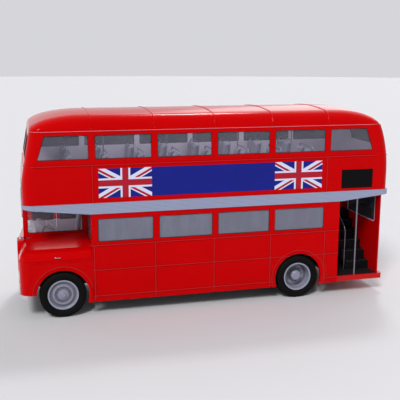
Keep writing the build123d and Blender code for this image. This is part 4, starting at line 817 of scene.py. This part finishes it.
class BUS_OT_tyres(bpy.types.Operator):
    """Turn the tyres, with ribs round the tread and slots across its shoulders"""

    bl_idname = "bus.tyres"
    bl_label = "Tyres"

    def execute(self, context):
        c, sizes = context.scene.bus_colours, context.scene.bus_sizes
        half = (*tyre_side, *tread_line)
        section = [*half, *[(r, -d) for r, d in reversed(half)]]
        points = [(front_axle + r, tyre_middle + d, axle_z) for r, d in section]
        first = start_line(points, closed=True)
        lathe((front_axle, tyre_middle, axle_z), (0, 1, 0), tread_steps)

        def slot_across(middle, _):
            from_axle = Vector((middle.x - front_axle, 0, middle.z - axle_z))
            step = math.atan2(from_axle.z, from_axle.x) / (2 * math.pi) * tread_steps
            beside = shoulder_from < abs(middle.y - tyre_middle) < shoulder_to
            return beside and from_axle.length > shoulder_radius and math.floor(step) % slot_every == 0

        pick(first, slot_across)
        bpy.ops.mesh.inset(thickness=0.004, depth=-sizes.tread_depth)
        bpy.ops.object.mode_set(mode="OBJECT")
        front_rubber, rear_rubber = tyre_rubber(c, front_axle), tyre_rubber(c, rear_axle)
        back = (rear_axle - front_axle, 0, 0)
        for hand, flip in (("left", False), ("right", True)):
            outer = copy_of(first, back, flip)
            inner = copy_of(first, (back[0], -twin_step, 0), flip)
            pair = join([outer, inner])
            settle(pair, f"rear_tyres_{hand}", f"rear_wheels_{hand}", rear_rubber)
            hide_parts(f"rear_tyre_{hand}")
        right = copy_of(first, (0, 0, 0), True)
        for hand, tyre in (("left", first), ("right", right)):
            settle(tyre, f"front_tread_{hand}", f"front_wheel_{hand}", front_rubber)
            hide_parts(f"front_tyre_{hand}")
        return {"FINISHED"}


nut_radius, nut_depth, nut_lift, nut_count = 0.017, 0.020, 0.009, 10
stud_inset, stud_length = 0.007, 0.010
# columns: axle, face of the wheel, radius of the ring, body's name
nut_rings = (
    (front_axle, tyre_middle + 0.062, 0.147, "front_wheel"),
    (rear_axle, tyre_middle - 0.1205, 0.190, "rear_wheels"),
)


class BUS_OT_wheel_nuts(bpy.types.Operator):
    """Set a ring of nuts and studs on each wheel"""

    bl_idname = "bus.wheel_nuts"
    bl_label = "Wheel nuts"

    def execute(self, context):
        metal = bright_metal("nut_steel", context.scene.bus_colours.steel, 0.28)
        for axle_x, face_y, radius, body in nut_rings:
            nut = start(
                "cylinder", vertices=6, radius=nut_radius, depth=nut_depth,
                rotation=(math.pi / 2, 0, 0), location=(axle_x + radius, face_y + nut_lift, axle_z),
            )
            pick(nut, lambda middle, normal: normal.y > 0.9)
            bpy.ops.mesh.inset(thickness=stud_inset)
            bpy.ops.mesh.extrude_region_move(TRANSFORM_OT_translate={"value": (0, stud_length, 0)})
            bpy.ops.mesh.select_all(action="SELECT")
            bpy.ops.mesh.bevel(affect="EDGES", offset=0.0015, segments=1)
            bpy.ops.mesh.select_all(action="SELECT")
            bpy.ops.mesh.spin(
                steps=nut_count, dupli=True, angle=2 * math.pi,
                center=(axle_x, face_y, axle_z), axis=(0, 1, 0),
            )
            bpy.ops.mesh.select_all(action="SELECT")
            bpy.ops.mesh.remove_doubles(threshold=0.0001)
            bpy.ops.object.mode_set(mode="OBJECT")
            right = copy_of(nut, (0, 0, 0), True)
            for hand, piece in (("left", nut), ("right", right)):
                settle(piece, f"{body}_nuts_{hand}", f"{body}_{hand}", metal, 20)
        return {"FINISHED"}


def stuffed(piece, voxel, swell):
    """Fills a pad: remeshes it evenly, blows it up a little as cloth and smooths it."""
    scene, last_frame = bpy.context.scene, 20
    remesh = piece.modifiers.new("Even", "REMESH")
    remesh.mode = "VOXEL"
    remesh.voxel_size = voxel
    bpy.ops.object.modifier_apply(modifier=remesh.name)
    flat = [v.co.copy() for v in piece.data.vertices]
    cloth = piece.modifiers.new("Cloth", "CLOTH")
    cloth.settings.use_pressure = True
    cloth.settings.uniform_pressure_force = 4
    cloth.settings.effector_weights.gravity = 0
    cloth.settings.quality = 5
    cloth.collision_settings.use_collision = False
    cloth.point_cache.frame_start = 1
    cloth.point_cache.frame_end = last_frame
    for step in range(1, last_frame + 1):
        scene.frame_set(step)
    bpy.ops.object.modifier_apply(modifier=cloth.name)
    scene.frame_set(1)
    for vertex, was in zip(piece.data.vertices, flat):
        move = vertex.co - was
        if move.length > swell:
            vertex.co = was + move.normalized() * swell
    smooth = piece.modifiers.new("Smooth", "SUBSURF")
    smooth.levels = smooth.render_levels = 1
    bpy.ops.object.modifier_apply(modifier=smooth.name)
    return piece


def pad(low, high, lean, voxel, swell):
    """One pad between two corners, its top leant back."""
    low, high = Vector(low), Vector(high)
    shrink = Vector((swell, swell, swell)) * 0.55
    piece = start_block(low + shrink, high - shrink)
    bpy.ops.mesh.bevel(affect="EDGES", offset=0.022, segments=3)
    bpy.ops.mesh.subdivide(number_cuts=2)
    middle_z = (low.z + high.z) / 2
    pick(piece, lambda middle, normal: normal.z > 0.9 and middle.z > middle_z)
    bpy.ops.transform.translate(
        value=(-lean, 0, 0), use_proportional_edit=lean != 0,
        proportional_edit_falloff="LINEAR", proportional_size=high.z - low.z,
    )
    bpy.ops.object.mode_set(mode="OBJECT")
    return stuffed(piece, voxel, swell)


deck_levels = {"upper": upper_deck, "lower": lower_deck}
row_pitch, seat_width = 0.77, 0.428
seat_rows = {
    "upper": [3.115 - row_pitch * i for i in range(8)],
    "lower": [1.850 - row_pitch * i for i in range(5)],
}
# Cushion and back of the inner seat of a pair, from the seat's back and the floor, and those of half
# a bench over a rear wheel; columns: low corner, high corner, how far the top leans back
seat_pads = (
    ((0.085, 0.254, 0.378), (0.492, 0.675, 0.488), 0),
    ((0.012, 0.254, 0.440), (0.090, 0.675, 0.998), 0.062),
)
bench_pads = (
    ((-2.575, 0.640, 1.060), (-2.018, 1.035, 1.150), 0),
    ((-2.575, 1.030, 1.120), (-2.018, 1.112, 1.590), 0),
)
bench_step, driver_place, seat_fill = 0.563, (2.80, -0.9995, 1.01), 0.7
rail_foot, rail_head = (0.020, 0.40), (-0.050, 1.028)
rail_inner, rail_outer, rail_bend = 0.272, 1.086, 0.06


class BUS_OT_seats(bpy.types.Operator):
    """Stuff the double seats, with a rail on each, the driver's seat and the benches"""

    bl_idname = "bus.seats"
    bl_label = "Seats"

    def execute(self, context):
        c, sizes = context.scene.bus_colours, context.scene.bus_sizes
        cloth = seat_cloth(c)
        steel = bright_metal("seat_rail", c.steel, 0.30)
        stuffing = sizes.seat_voxel, sizes.seat_swell
        single = join([pad(*corners, *stuffing) for corners in seat_pads])
        model = join([copy_of(single, (0, 0, 0)), copy_of(single, (0, seat_width, 0))])
        (foot_x, foot_z), (head_x, head_z) = rail_foot, rail_head
        rail_model = tube(
            [
                (foot_x, rail_inner, foot_z), (head_x, rail_inner, head_z),
                (head_x, rail_outer, head_z), (foot_x, rail_outer, foot_z),
            ],
            sizes.rail_radius, rail_bend,
        )
        for deck, rows in seat_rows.items():
            for row, x in enumerate(rows, 1):
                for hand, flip in (("near", False), ("off", True)):
                    at = (x, 0, deck_levels[deck])
                    seat = copy_of(model, at, flip)
                    settle(seat, f"{deck}_seat_{row}_{hand}", "body", cloth, 60)
                    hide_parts(f"{deck}_seats")
                    rail = copy_of(rail_model, at, flip)
                    settle(rail, f"{deck}_seat_rail_{row}_{hand}", "body", steel)
        driver = copy_of(single, driver_place)
        bench = join([pad(*corners, *stuffing) for corners in bench_pads])
        bench = join([bench, copy_of(bench, (bench_step, 0, 0))])
        far_bench = copy_of(bench, (0, 0, 0), True)
        others = {"driver_seat": driver, "bench_off": far_bench, "bench_near": bench}
        for name, piece in others.items():
            settle(piece, name, "body", cloth, 60)
            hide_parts("lower_seats")
        for spare in (model, rail_model, single):
            bpy.data.objects.remove(spare)
        return {"FINISHED"}


half_pillar, lip, lower_set_back = 0.0625, 0.006, 0.025
bays = [(b + half_pillar, a - half_pillar) for a, b in zip(pillars, pillars[1:])]
end_pillar = pillars[0] + half_pillar
# columns: sill from, sill to, head from, head to, along the bus
upper_bays = (
    (end_pillar, 3.750, end_pillar, 3.600),
    *[pane * 2 for pane in bays],
    (-3.757, -end_pillar, -3.580, -end_pillar),
)
lower_bays = [(x0 - lower_set_back, x1 - lower_set_back) for x0, x1 in bays]


def across(x0, x1, z0, z1, y, lean0=0.0, lean1=0.0):
    """Corners of a pane that lies along the bus, just inside its edge; its head may be drawn in."""
    return [
        (x0 + lip, y, z0 + lip), (x1 - lip, y, z0 + lip),
        (x1 - lip - lean1, y, z1 - lip), (x0 + lip + lean0, y, z1 - lip),
    ]


def endways(y0, y1, z0, z1, x0, x1):
    """Corners of a pane that lies across the bus, just inside its edge: x0 at its sill, x1 on top."""
    return [
        (x0, y0 + lip, z0 + lip), (x0, y1 - lip, z0 + lip),
        (x1, y1 - lip, z1 - lip), (x1, y0 + lip, z1 - lip),
    ]


roof_rise, crown_rise, shoulder = 0.370, 0.042, 0.328
roof_front, roof_back, roof_corner = 3.887, -3.972, 0.23
# columns: distance in from the end, share of the roof's height there
front_fall = (
    (0, 0.03), (0.010, 0.22), (0.030, 0.30), (0.060, 0.37), (0.100, 0.44), (0.160, 0.53),
    (0.228, 0.62), (0.33, 0.72), (0.45, 0.81), (0.60, 0.89), (0.77, 0.95), (0.95, 0.988), (1.12, 1.0),
)
rear_fall = (
    (0, 0.03), (0.012, 0.13), (0.035, 0.22), (0.070, 0.305), (0.120, 0.40), (0.180, 0.495),
    (0.228, 0.56), (0.30, 0.645), (0.40, 0.745), (0.54, 0.845), (0.70, 0.92), (0.88, 0.97),
    (1.05, 0.993), (1.22, 1.0),
)
corner_steps = (0, 0.02, 0.05, 0.09, 0.15, 0.23)
rib_radius, gutter_radius, roof_skin = 0.020, 0.006, 0.045
# A rib's share of the roof's width and height, so that it lies half sunk in the skin
rib_wide, rib_high = 0.995, 0.984


def roof_section():
    """Half-round shoulders and a low crown: distance across the bus, and height above the rim."""
    turns = [math.radians(a) for a in range(0, 90, 9)]
    flank = [(half_width - shoulder * (1 - math.cos(a)), shoulder * math.sin(a)) for a in turns]
    flat = half_width - shoulder
    crown = [(y, roof_rise - crown_rise * (y / flat) ** 2) for y in (0.80, 0.60, 0.40, 0.20)]
    half = flank + crown
    return [*half, (0, roof_rise), *[(-y, h) for y, h in reversed(half)]]


def drawn_in(distance):
    """Share of the roof's width at a distance from its end, round the corner."""
    short = max(0, roof_corner - distance)
    return 1 - (roof_corner - math.sqrt(roof_corner ** 2 - short ** 2)) / half_width


class BUS_OT_roof(bpy.types.Operator):
    """Draw the roof's section from end to end, falling away at both, with its ribs and gutter"""

    bl_idname = "bus.roof"
    bl_label = "Domed roof"

    def execute(self, context):
        section = roof_section()
        stations = [(roof_front - d, drawn_in(d), h) for d, h in front_fall]
        stations += [(roof_back + d, drawn_in(d), h) for d, h in reversed(rear_fall)]

        def at(x, wide, high):
            return [(x, y * wide, roof_rim + h * high) for y, h in section]

        shell = start_line(at(*stations[0]))
        bpy.ops.mesh.select_all(action="SELECT")
        for (x0, wide0, high0), (x1, wide1, high1) in zip(stations, stations[1:]):
            bpy.ops.mesh.extrude_region_move(TRANSFORM_OT_translate={"value": (x1 - x0, 0, 0)})
            bpy.ops.transform.resize(
                value=(1, wide1 / wide0, high1 / high0), center_override=(x1, 0, roof_rim)
            )
        for station in (stations[0], stations[-1]):
            ends(shell, *at(*station))
            bpy.ops.mesh.edge_face_add()
        bpy.ops.mesh.select_all(action="SELECT")
        bpy.ops.mesh.normals_make_consistent(inside=False)
        bpy.ops.object.mode_set(mode="OBJECT")
        skin = shell.modifiers.new("Skin", "SOLIDIFY")
        skin.thickness, skin.offset = roof_skin, -1
        bpy.ops.object.modifier_apply(modifier=skin.name)
        rib = tube(at(0, rib_wide, rib_high)[1:-1], rib_radius, 0.004)
        ribs = [copy_of(rib, (x, 0, 0)) for x in pillars if x]
        corner = [(d, half_width * drawn_in(d)) for d in corner_steps]
        near = [(roof_front - d, y, roof_rim + gutter_radius) for d, y in corner]
        near += [(roof_back + d, y, roof_rim + gutter_radius) for d, y in reversed(corner)]
        far = [(x, -y, z) for x, y, z in reversed(near)]
        gutter = tube([*near, *far], gutter_radius, 0.004, closed=True)
        whole = join([shell, rib, *ribs, gutter])
        paint = red_paint(context.scene.bus_colours, "roof")
        settle(whole, "domed_roof", "body", paint)
        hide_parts("roof")
        return {"FINISHED"}


upper_sill, upper_head = span("upper_glass", "z")
lower_sill, lower_head = 1.630, 2.135
cab_sill, cab_head = span("cab_glass", "z")
bulkhead_sill, bulkhead_head = 1.64, 2.25
# How far out the rubbers lie on the sides; radii of the rubbers, of their bends and of the pale frame
side_face = half_width - 0.010
rubber_radius, rubber_bend, frame_radius = 0.007, 0.032, 0.010


def bar_round(corners, radius=rubber_radius):
    """A closed bar round a pane."""
    return tube(corners, radius, rubber_bend, closed=True)


class BUS_OT_window_rubbers(bpy.types.Operator):
    """Lay a rubber round every window, and a pale frame round the one at the back of the platform"""

    bl_idname = "bus.window_rubbers"
    bl_label = "Window rubbers"

    def execute(self, context):
        c = context.scene.bus_colours
        rubber = painted("window_rubber", c.rubber, 0.65)
        pale = painted("rear_window_frame", c.lining, 0.4)
        upper, lower = [], []
        for y in (side_face, -side_face):
            for low0, low1, high0, high1 in upper_bays:
                drawn = high0 - low0, low1 - high1
                upper.append(across(low0, low1, upper_sill, upper_head, y, *drawn))
            lower += [across(x0, x1, lower_sill, lower_head, y) for x0, x1 in lower_bays]
        for y0, y1 in ((0.07, 0.96), (-0.96, -0.07)):
            upper.append(endways(y0, y1, upper_sill + 0.02, upper_head - 0.01, 3.982, 3.892))
        for y0, y1 in ((-1.01, -0.015), (0.195, 1.01)):
            lower.append(endways(y0, y1, bulkhead_sill, bulkhead_head, 2.682, 2.682))
        lower.append(endways(0.57, 1.025, lower_sill, lower_head, -2.982, -2.982))
        cab = [
            endways(-1.01, 0, cab_sill, cab_head, 4.070, 4.070),
            across(2.78, 3.99, cab_sill, cab_head, 0.080),
            across(3.36, 3.86, cab_sill, cab_head, -side_face),
        ]
        for deck, panes in {"upper": upper, "lower": lower, "cab": cab}.items():
            bars = join([bar_round(corners) for corners in panes])
            settle(bars, f"{deck}_window_rubbers", "body", rubber, 50)
        door_pane = *span("cab_door_glass", "x"), *span("cab_door_glass", "z")
        door = bar_round(across(*door_pane, -side_face))
        settle(door, "cab_door_rubber", "cab_door", rubber, 50)
        sash_pane = *span("emergency_glass", "y"), *span("emergency_glass", "z")
        sash = bar_round(endways(*sash_pane, -4.122, -4.042))
        settle(sash, "emergency_rubber", "emergency_exit", rubber, 50)
        back_pane = -0.53, 0.89, bulkhead_sill, bulkhead_head
        back = join([bar_round(endways(*back_pane, x, x), frame_radius) for x in (-4.063, -4.031)])
        settle(back, "rear_window_frame", "body", pale, 50)
        return {"FINISHED"}


ceilings = {"upper": upper_ceiling, "lower": lower_ceiling}
head_lamp = (4.205, 0.800, 0.880)
# columns: radius, distance out
lamp_rim = (
    (0.101, -0.007), (0.101, 0.005), (0.108, 0.012), (0.116, 0.010), (0.121, 0.001), (0.121, -0.002),
)
lamp_dome = (
    (0, 0.034), (0.040, 0.031), (0.066, 0.020), (0.078, 0.007), (0.092, 0.005), (0.092, -0.003),
    (0, -0.003),
)


class BUS_OT_lamps(bpy.types.Operator):
    """Set the bright rims on the head lamps and the round lamps under both ceilings"""

    bl_idname = "bus.lamps"
    bl_label = "Lamps"

    def execute(self, context):
        chrome = bright_metal("lamp_rim", sheen_of(215, 215, 222), 0.12)
        opal = painted("opal_glass", sheen_of(226, 224, 220), 0.25, 20, 0.0003)
        rim = turned(lamp_rim, head_lamp, (1, 0, 0), 48)
        settle(copy_of(rim, (0, 0, 0), True), "head_lamp_rim_right", "body", chrome)
        settle(rim, "head_lamp_rim_left", "body", chrome)
        model = turned(lamp_dome, (0, 0, 0), (0, 0, -1))
        for deck, height in ceilings.items():
            for number, x in enumerate(pillars[:4], 1):
                lamp = copy_of(model, (x - bay / 2, 0, height))
                settle(lamp, f"{deck}_ceiling_lamp_{number}", "body", opal)
        bpy.data.objects.remove(model)
        return {"FINISHED"}


# columns: name, body, bar radius, points
handle_bars = (
    (
        "cab_door_handle", "cab_door", 0.006,
        [(2.85, -1.150, 1.50), (2.85, -1.171, 1.50), (2.95, -1.171, 1.50)],
    ),
    (
        "bonnet_handle", "bonnet", 0.006,
        [(3.35, 1.150, 1.34), (3.35, 1.171, 1.34), (3.47, 1.171, 1.34), (3.47, 1.150, 1.34)],
    ),
    (
        "emergency_handle", "emergency_exit", 0.007,
        [(-4.120, -0.07, 3.44), (-4.162, -0.07, 3.44), (-4.162, 0.07, 3.44), (-4.120, 0.07, 3.44)],
    ),
)
# columns: name, profile as radius and distance out, place, axis
caps = (
    (
        "radiator_cap",
        (
            (0, 0.050), (0.012, 0.050), (0.016, 0.040), (0.034, 0.036), (0.036, 0.006), (0.042, 0),
            (0, -0.004),
        ),
        (4.14, 0.17, 1.55), (0, 0, 1),
    ),
    (
        "tank_cap", ((0, 0.016), (0.030, 0.016), (0.040, 0.010), (0.044, 0), (0, -0.004)),
        (-0.3, -1.16, 0.75), (0, -1, 0),
    ),
)
plate_corners = (-4.081, -0.28, 0.95), (-4.066, 0.24, 1.06)


class BUS_OT_handles(bpy.types.Operator):
    """Fit the handles, the radiator and tank caps and the blank rear plate"""

    bl_idname = "bus.handles"
    bl_label = "Handles and caps"

    def execute(self, context):
        c = context.scene.bus_colours
        chrome = bright_metal("handle_chrome", sheen_of(205, 205, 212), 0.16)
        for name, body, radius, points in handle_bars:
            settle(tube(points, radius, 0.010), name, body, chrome, 50)
        for name, profile, place, axis in caps:
            settle(turned(profile, place, axis), name, "body", chrome)
        plate = slab(*plate_corners, 0.004)
        settle(plate, "rear_plate", "body", painted("plate", c.black, 0.35))
        return {"FINISHED"}


stair_rail = [(-3.40, 0.66, 0.44), (-3.40, 0.66, 1.45), (-3.40, -0.60, 2.40)]
stair_rail_radius, pole_foot = 0.013, 1.02
stair_count, stair_going, stair_rise = 8, 0.23, 0.2
edging_corners = (-4.020, 0.660, 0.634), (-3.430, 0.703, 0.645)


class BUS_OT_rails(bpy.types.Operator):
    """Put up the stair rail, the poles on both decks and the edgings on the stairs"""

    bl_idname = "bus.rails"
    bl_label = "Rails and stair edgings"

    def execute(self, context):
        c, sizes = context.scene.bus_colours, context.scene.bus_sizes
        steel = bright_metal("rail_steel", tint(c.steel, 0.8), 0.25)
        rail = tube(stair_rail, stair_rail_radius, 0.12)
        settle(rail, "stair_rail", "body", steel, 50)
        for deck, rows in seat_rows.items():
            for number, row_x in enumerate(rows[1::2], 1):
                x, y = row_x + rail_head[0], rail_inner if number % 2 else -rail_inner
                foot, head = deck_levels[deck] + pole_foot, ceilings[deck]
                heights = foot, (foot + head) / 2, head
                pole = tube([(x, y, z) for z in heights], sizes.rail_radius, 0.02)
                settle(pole, f"{deck}_pole_{number}", "body", steel, 50)
        edging = slab(*edging_corners, 0.003)
        worn = painted("stair_edging", sheen_of(40, 40, 44), 0.45, 40, 0.0008, specular=0.2)
        for step in range(1, stair_count):
            higher = copy_of(edging, (0, -stair_going * step, stair_rise * step))
            settle(higher, f"stair_edging_{step + 1}", "body", worn)
        settle(edging, "stair_edging_1", "body", worn)
        return {"FINISHED"}


# columns: name, foot, knee, head
levers = (
    ("gear_lever", (3.35, -0.13, 1.12), (3.35, -0.13, 1.38), (3.31, -0.15, 1.56)),
    ("hand_brake", (3.12, -0.13, 1.12), (3.16, -0.13, 1.30), (3.24, -0.14, 1.48)),
)
# columns: radius, height over the lever's head
lever_knob = ((0, 0.026), (0.014, 0.022), (0.021, 0.010), (0.021, -0.004), (0.014, -0.018), (0, -0.022))
lever_radius, wiper_radius = 0.009, 0.006
wiper_arm = [(4.060, -0.36, 2.325), (4.096, -0.36, 2.325), (4.090, -0.52, 1.92)]
wiper_blade = (4.081, -0.66, 1.905), (4.096, -0.38, 1.925)


class BUS_OT_cab_fittings(bpy.types.Operator):
    """Add the gear and brake levers and the wiper"""

    bl_idname = "bus.cab_fittings"
    bl_label = "Cab fittings"

    def execute(self, context):
        black = painted("lever_black", context.scene.bus_colours.black, 0.35)
        for name, foot, knee, head in levers:
            bar = tube([foot, knee, head], lever_radius, 0.06)
            lever = join([bar, turned(lever_knob, head, (0, 0, 1), 20)])
            settle(lever, name, "body", black, 50)
        arm = tube(wiper_arm, wiper_radius, 0.012)
        blade = slab(*wiper_blade, 0.004)
        settle(join([arm, blade]), "wiper", "body", black, 50)
        return {"FINISHED"}


floor_radius, sky_strength = 150, 0.44
# columns: name, direction towards it, strength, angle across it in degrees
suns = (
    ("key", (0.50, 0.80, 0.95), 2.0, 16),
    ("sparkle", (-0.24, -0.52, 0.82), 0.7, 8),
    ("fill", (-0.65, -0.75, 0.55), 0.8, 60),
)
# columns: name, back, front, place across the bus, height, watts
ceiling_lights = (
    ("upper", -3.0, 3.0, 0, 4.27, 45),
    ("lower", -2.6, 2.4, 0, 2.40, 12),
    ("cab", 2.85, 3.85, -0.45, 2.40, 6),
)
ceiling_light_width = 0.6
# Where the photograph was taken from and towards, and its tilt in degrees
camera_place, camera_aim, camera_tilt = (4.105, 15.807, 5.596), (-0.24441, -0.94783, -0.20467), 0.17


class BUS_OT_stage(bpy.types.Operator):
    """Lay the pale floor, set the soft light and place the camera"""

    bl_idname = "bus.stage"
    bl_label = "Stage"

    def execute(self, context):
        c, scene = context.scene.bus_colours, context.scene
        deselect()
        bpy.ops.mesh.primitive_circle_add(vertices=64, radius=floor_radius, fill_type="TRIFAN")
        ground = context.object
        ground.name = "studio_floor"
        f = Finish("studio_floor")
        speckled = f.mix(tint(c.ground, 0.97), c.ground, f.noise(0.6, 2))
        ground.data.materials.append(
            f.surface(Base_Color=speckled, Roughness=0.8, Specular_IOR_Level=0.1)
        )
        for name, toward, strength, angle in suns:
            bpy.ops.object.light_add(type="SUN", location=Vector(toward) * 20)
            lamp = context.object
            lamp.name = name
            lamp.rotation_euler = Vector(toward).to_track_quat("Z", "Y").to_euler()
            lamp.data.energy = strength
            lamp.data.angle = math.radians(angle)
        for name, back, front, y, height, watts in ceiling_lights:
            bpy.ops.object.light_add(type="AREA", location=((back + front) / 2, y, height))
            lamp = context.object
            lamp.name = name + "_light"
            lamp.data.shape = "RECTANGLE"
            lamp.data.size, lamp.data.size_y = front - back, ceiling_light_width
            lamp.data.energy = watts
            lamp.visible_camera = False
        scene.world = scene.world or bpy.data.worlds.new("studio")
        scene.world.use_nodes = True
        sky = Nodes(scene.world.node_tree)
        sky.tree.nodes.clear()
        direct = sky.node("ShaderNodeLightPath", output="Is Camera Ray")
        seen = direct.most(direct.also("Is Glossy Ray").most(direct.also("Is Transmission Ray")))
        light = sky.node("ShaderNodeBackground", {}, {"Color": (1, 1, 1), "Strength": sky_strength})
        pale = sky.node("ShaderNodeBackground", {}, {"Color": c.ground, "Strength": 1.0})
        shown = sky.node("ShaderNodeMixShader", {}, {0: seen, 1: light, 2: pale})
        sky.node("ShaderNodeOutputWorld", {}, {"Surface": shown})
        bpy.ops.object.camera_add(location=camera_place)
        camera = context.object
        camera.name = "photo_camera"
        camera.rotation_euler = Vector(camera_aim).to_track_quat("-Z", "Y").to_euler()
        camera.rotation_euler.rotate_axis("Z", math.radians(camera_tilt))
        camera.data.lens = scene.bus_sizes.lens
        camera.data.sensor_width = 36
        camera.data.clip_end = 500
        scene.camera = camera
        scene.view_settings.view_transform = "Standard"
        return {"FINISHED"}


class BUS_PT_panel(bpy.types.Panel):
    """The bus's steps, colours and sizes"""

    bl_idname = "BUS_PT_panel"
    bl_label = "Double Decker Bus"
    bl_space_type = "VIEW_3D"
    bl_region_type = "UI"
    bl_category = "Bus"

    def draw(self, context):
        for step in steps:
            self.layout.operator(step.bl_idname)
        for group in (context.scene.bus_colours, context.scene.bus_sizes):
            for name in group.__annotations__:
                self.layout.prop(group, name)


steps = (
    BUS_OT_finishes, BUS_OT_tyres, BUS_OT_wheel_nuts, BUS_OT_seats, BUS_OT_roof, BUS_OT_window_rubbers,
    BUS_OT_lamps, BUS_OT_handles, BUS_OT_rails, BUS_OT_cab_fittings, BUS_OT_stage,
)
classes = (BusColours, BusSizes, *steps, BUS_PT_panel)


def register():
    for cls in classes:
        bpy.utils.register_class(cls)
    bpy.types.Scene.bus_colours = bpy.props.PointerProperty(type=BusColours)
    bpy.types.Scene.bus_sizes = bpy.props.PointerProperty(type=BusSizes)


def unregister():
    del bpy.types.Scene.bus_colours
    del bpy.types.Scene.bus_sizes
    for cls in reversed(classes):
        bpy.utils.unregister_class(cls)


def main():
    register()
    bpy.ops.bus.finishes()
    bpy.ops.bus.tyres()
    bpy.ops.bus.wheel_nuts()
    bpy.ops.bus.seats()
    bpy.ops.bus.roof()
    bpy.ops.bus.window_rubbers()
    bpy.ops.bus.lamps()
    bpy.ops.bus.handles()
    bpy.ops.bus.rails()
    bpy.ops.bus.cab_fittings()
    bpy.ops.bus.stage()


if __name__ == "__main__":
    main()
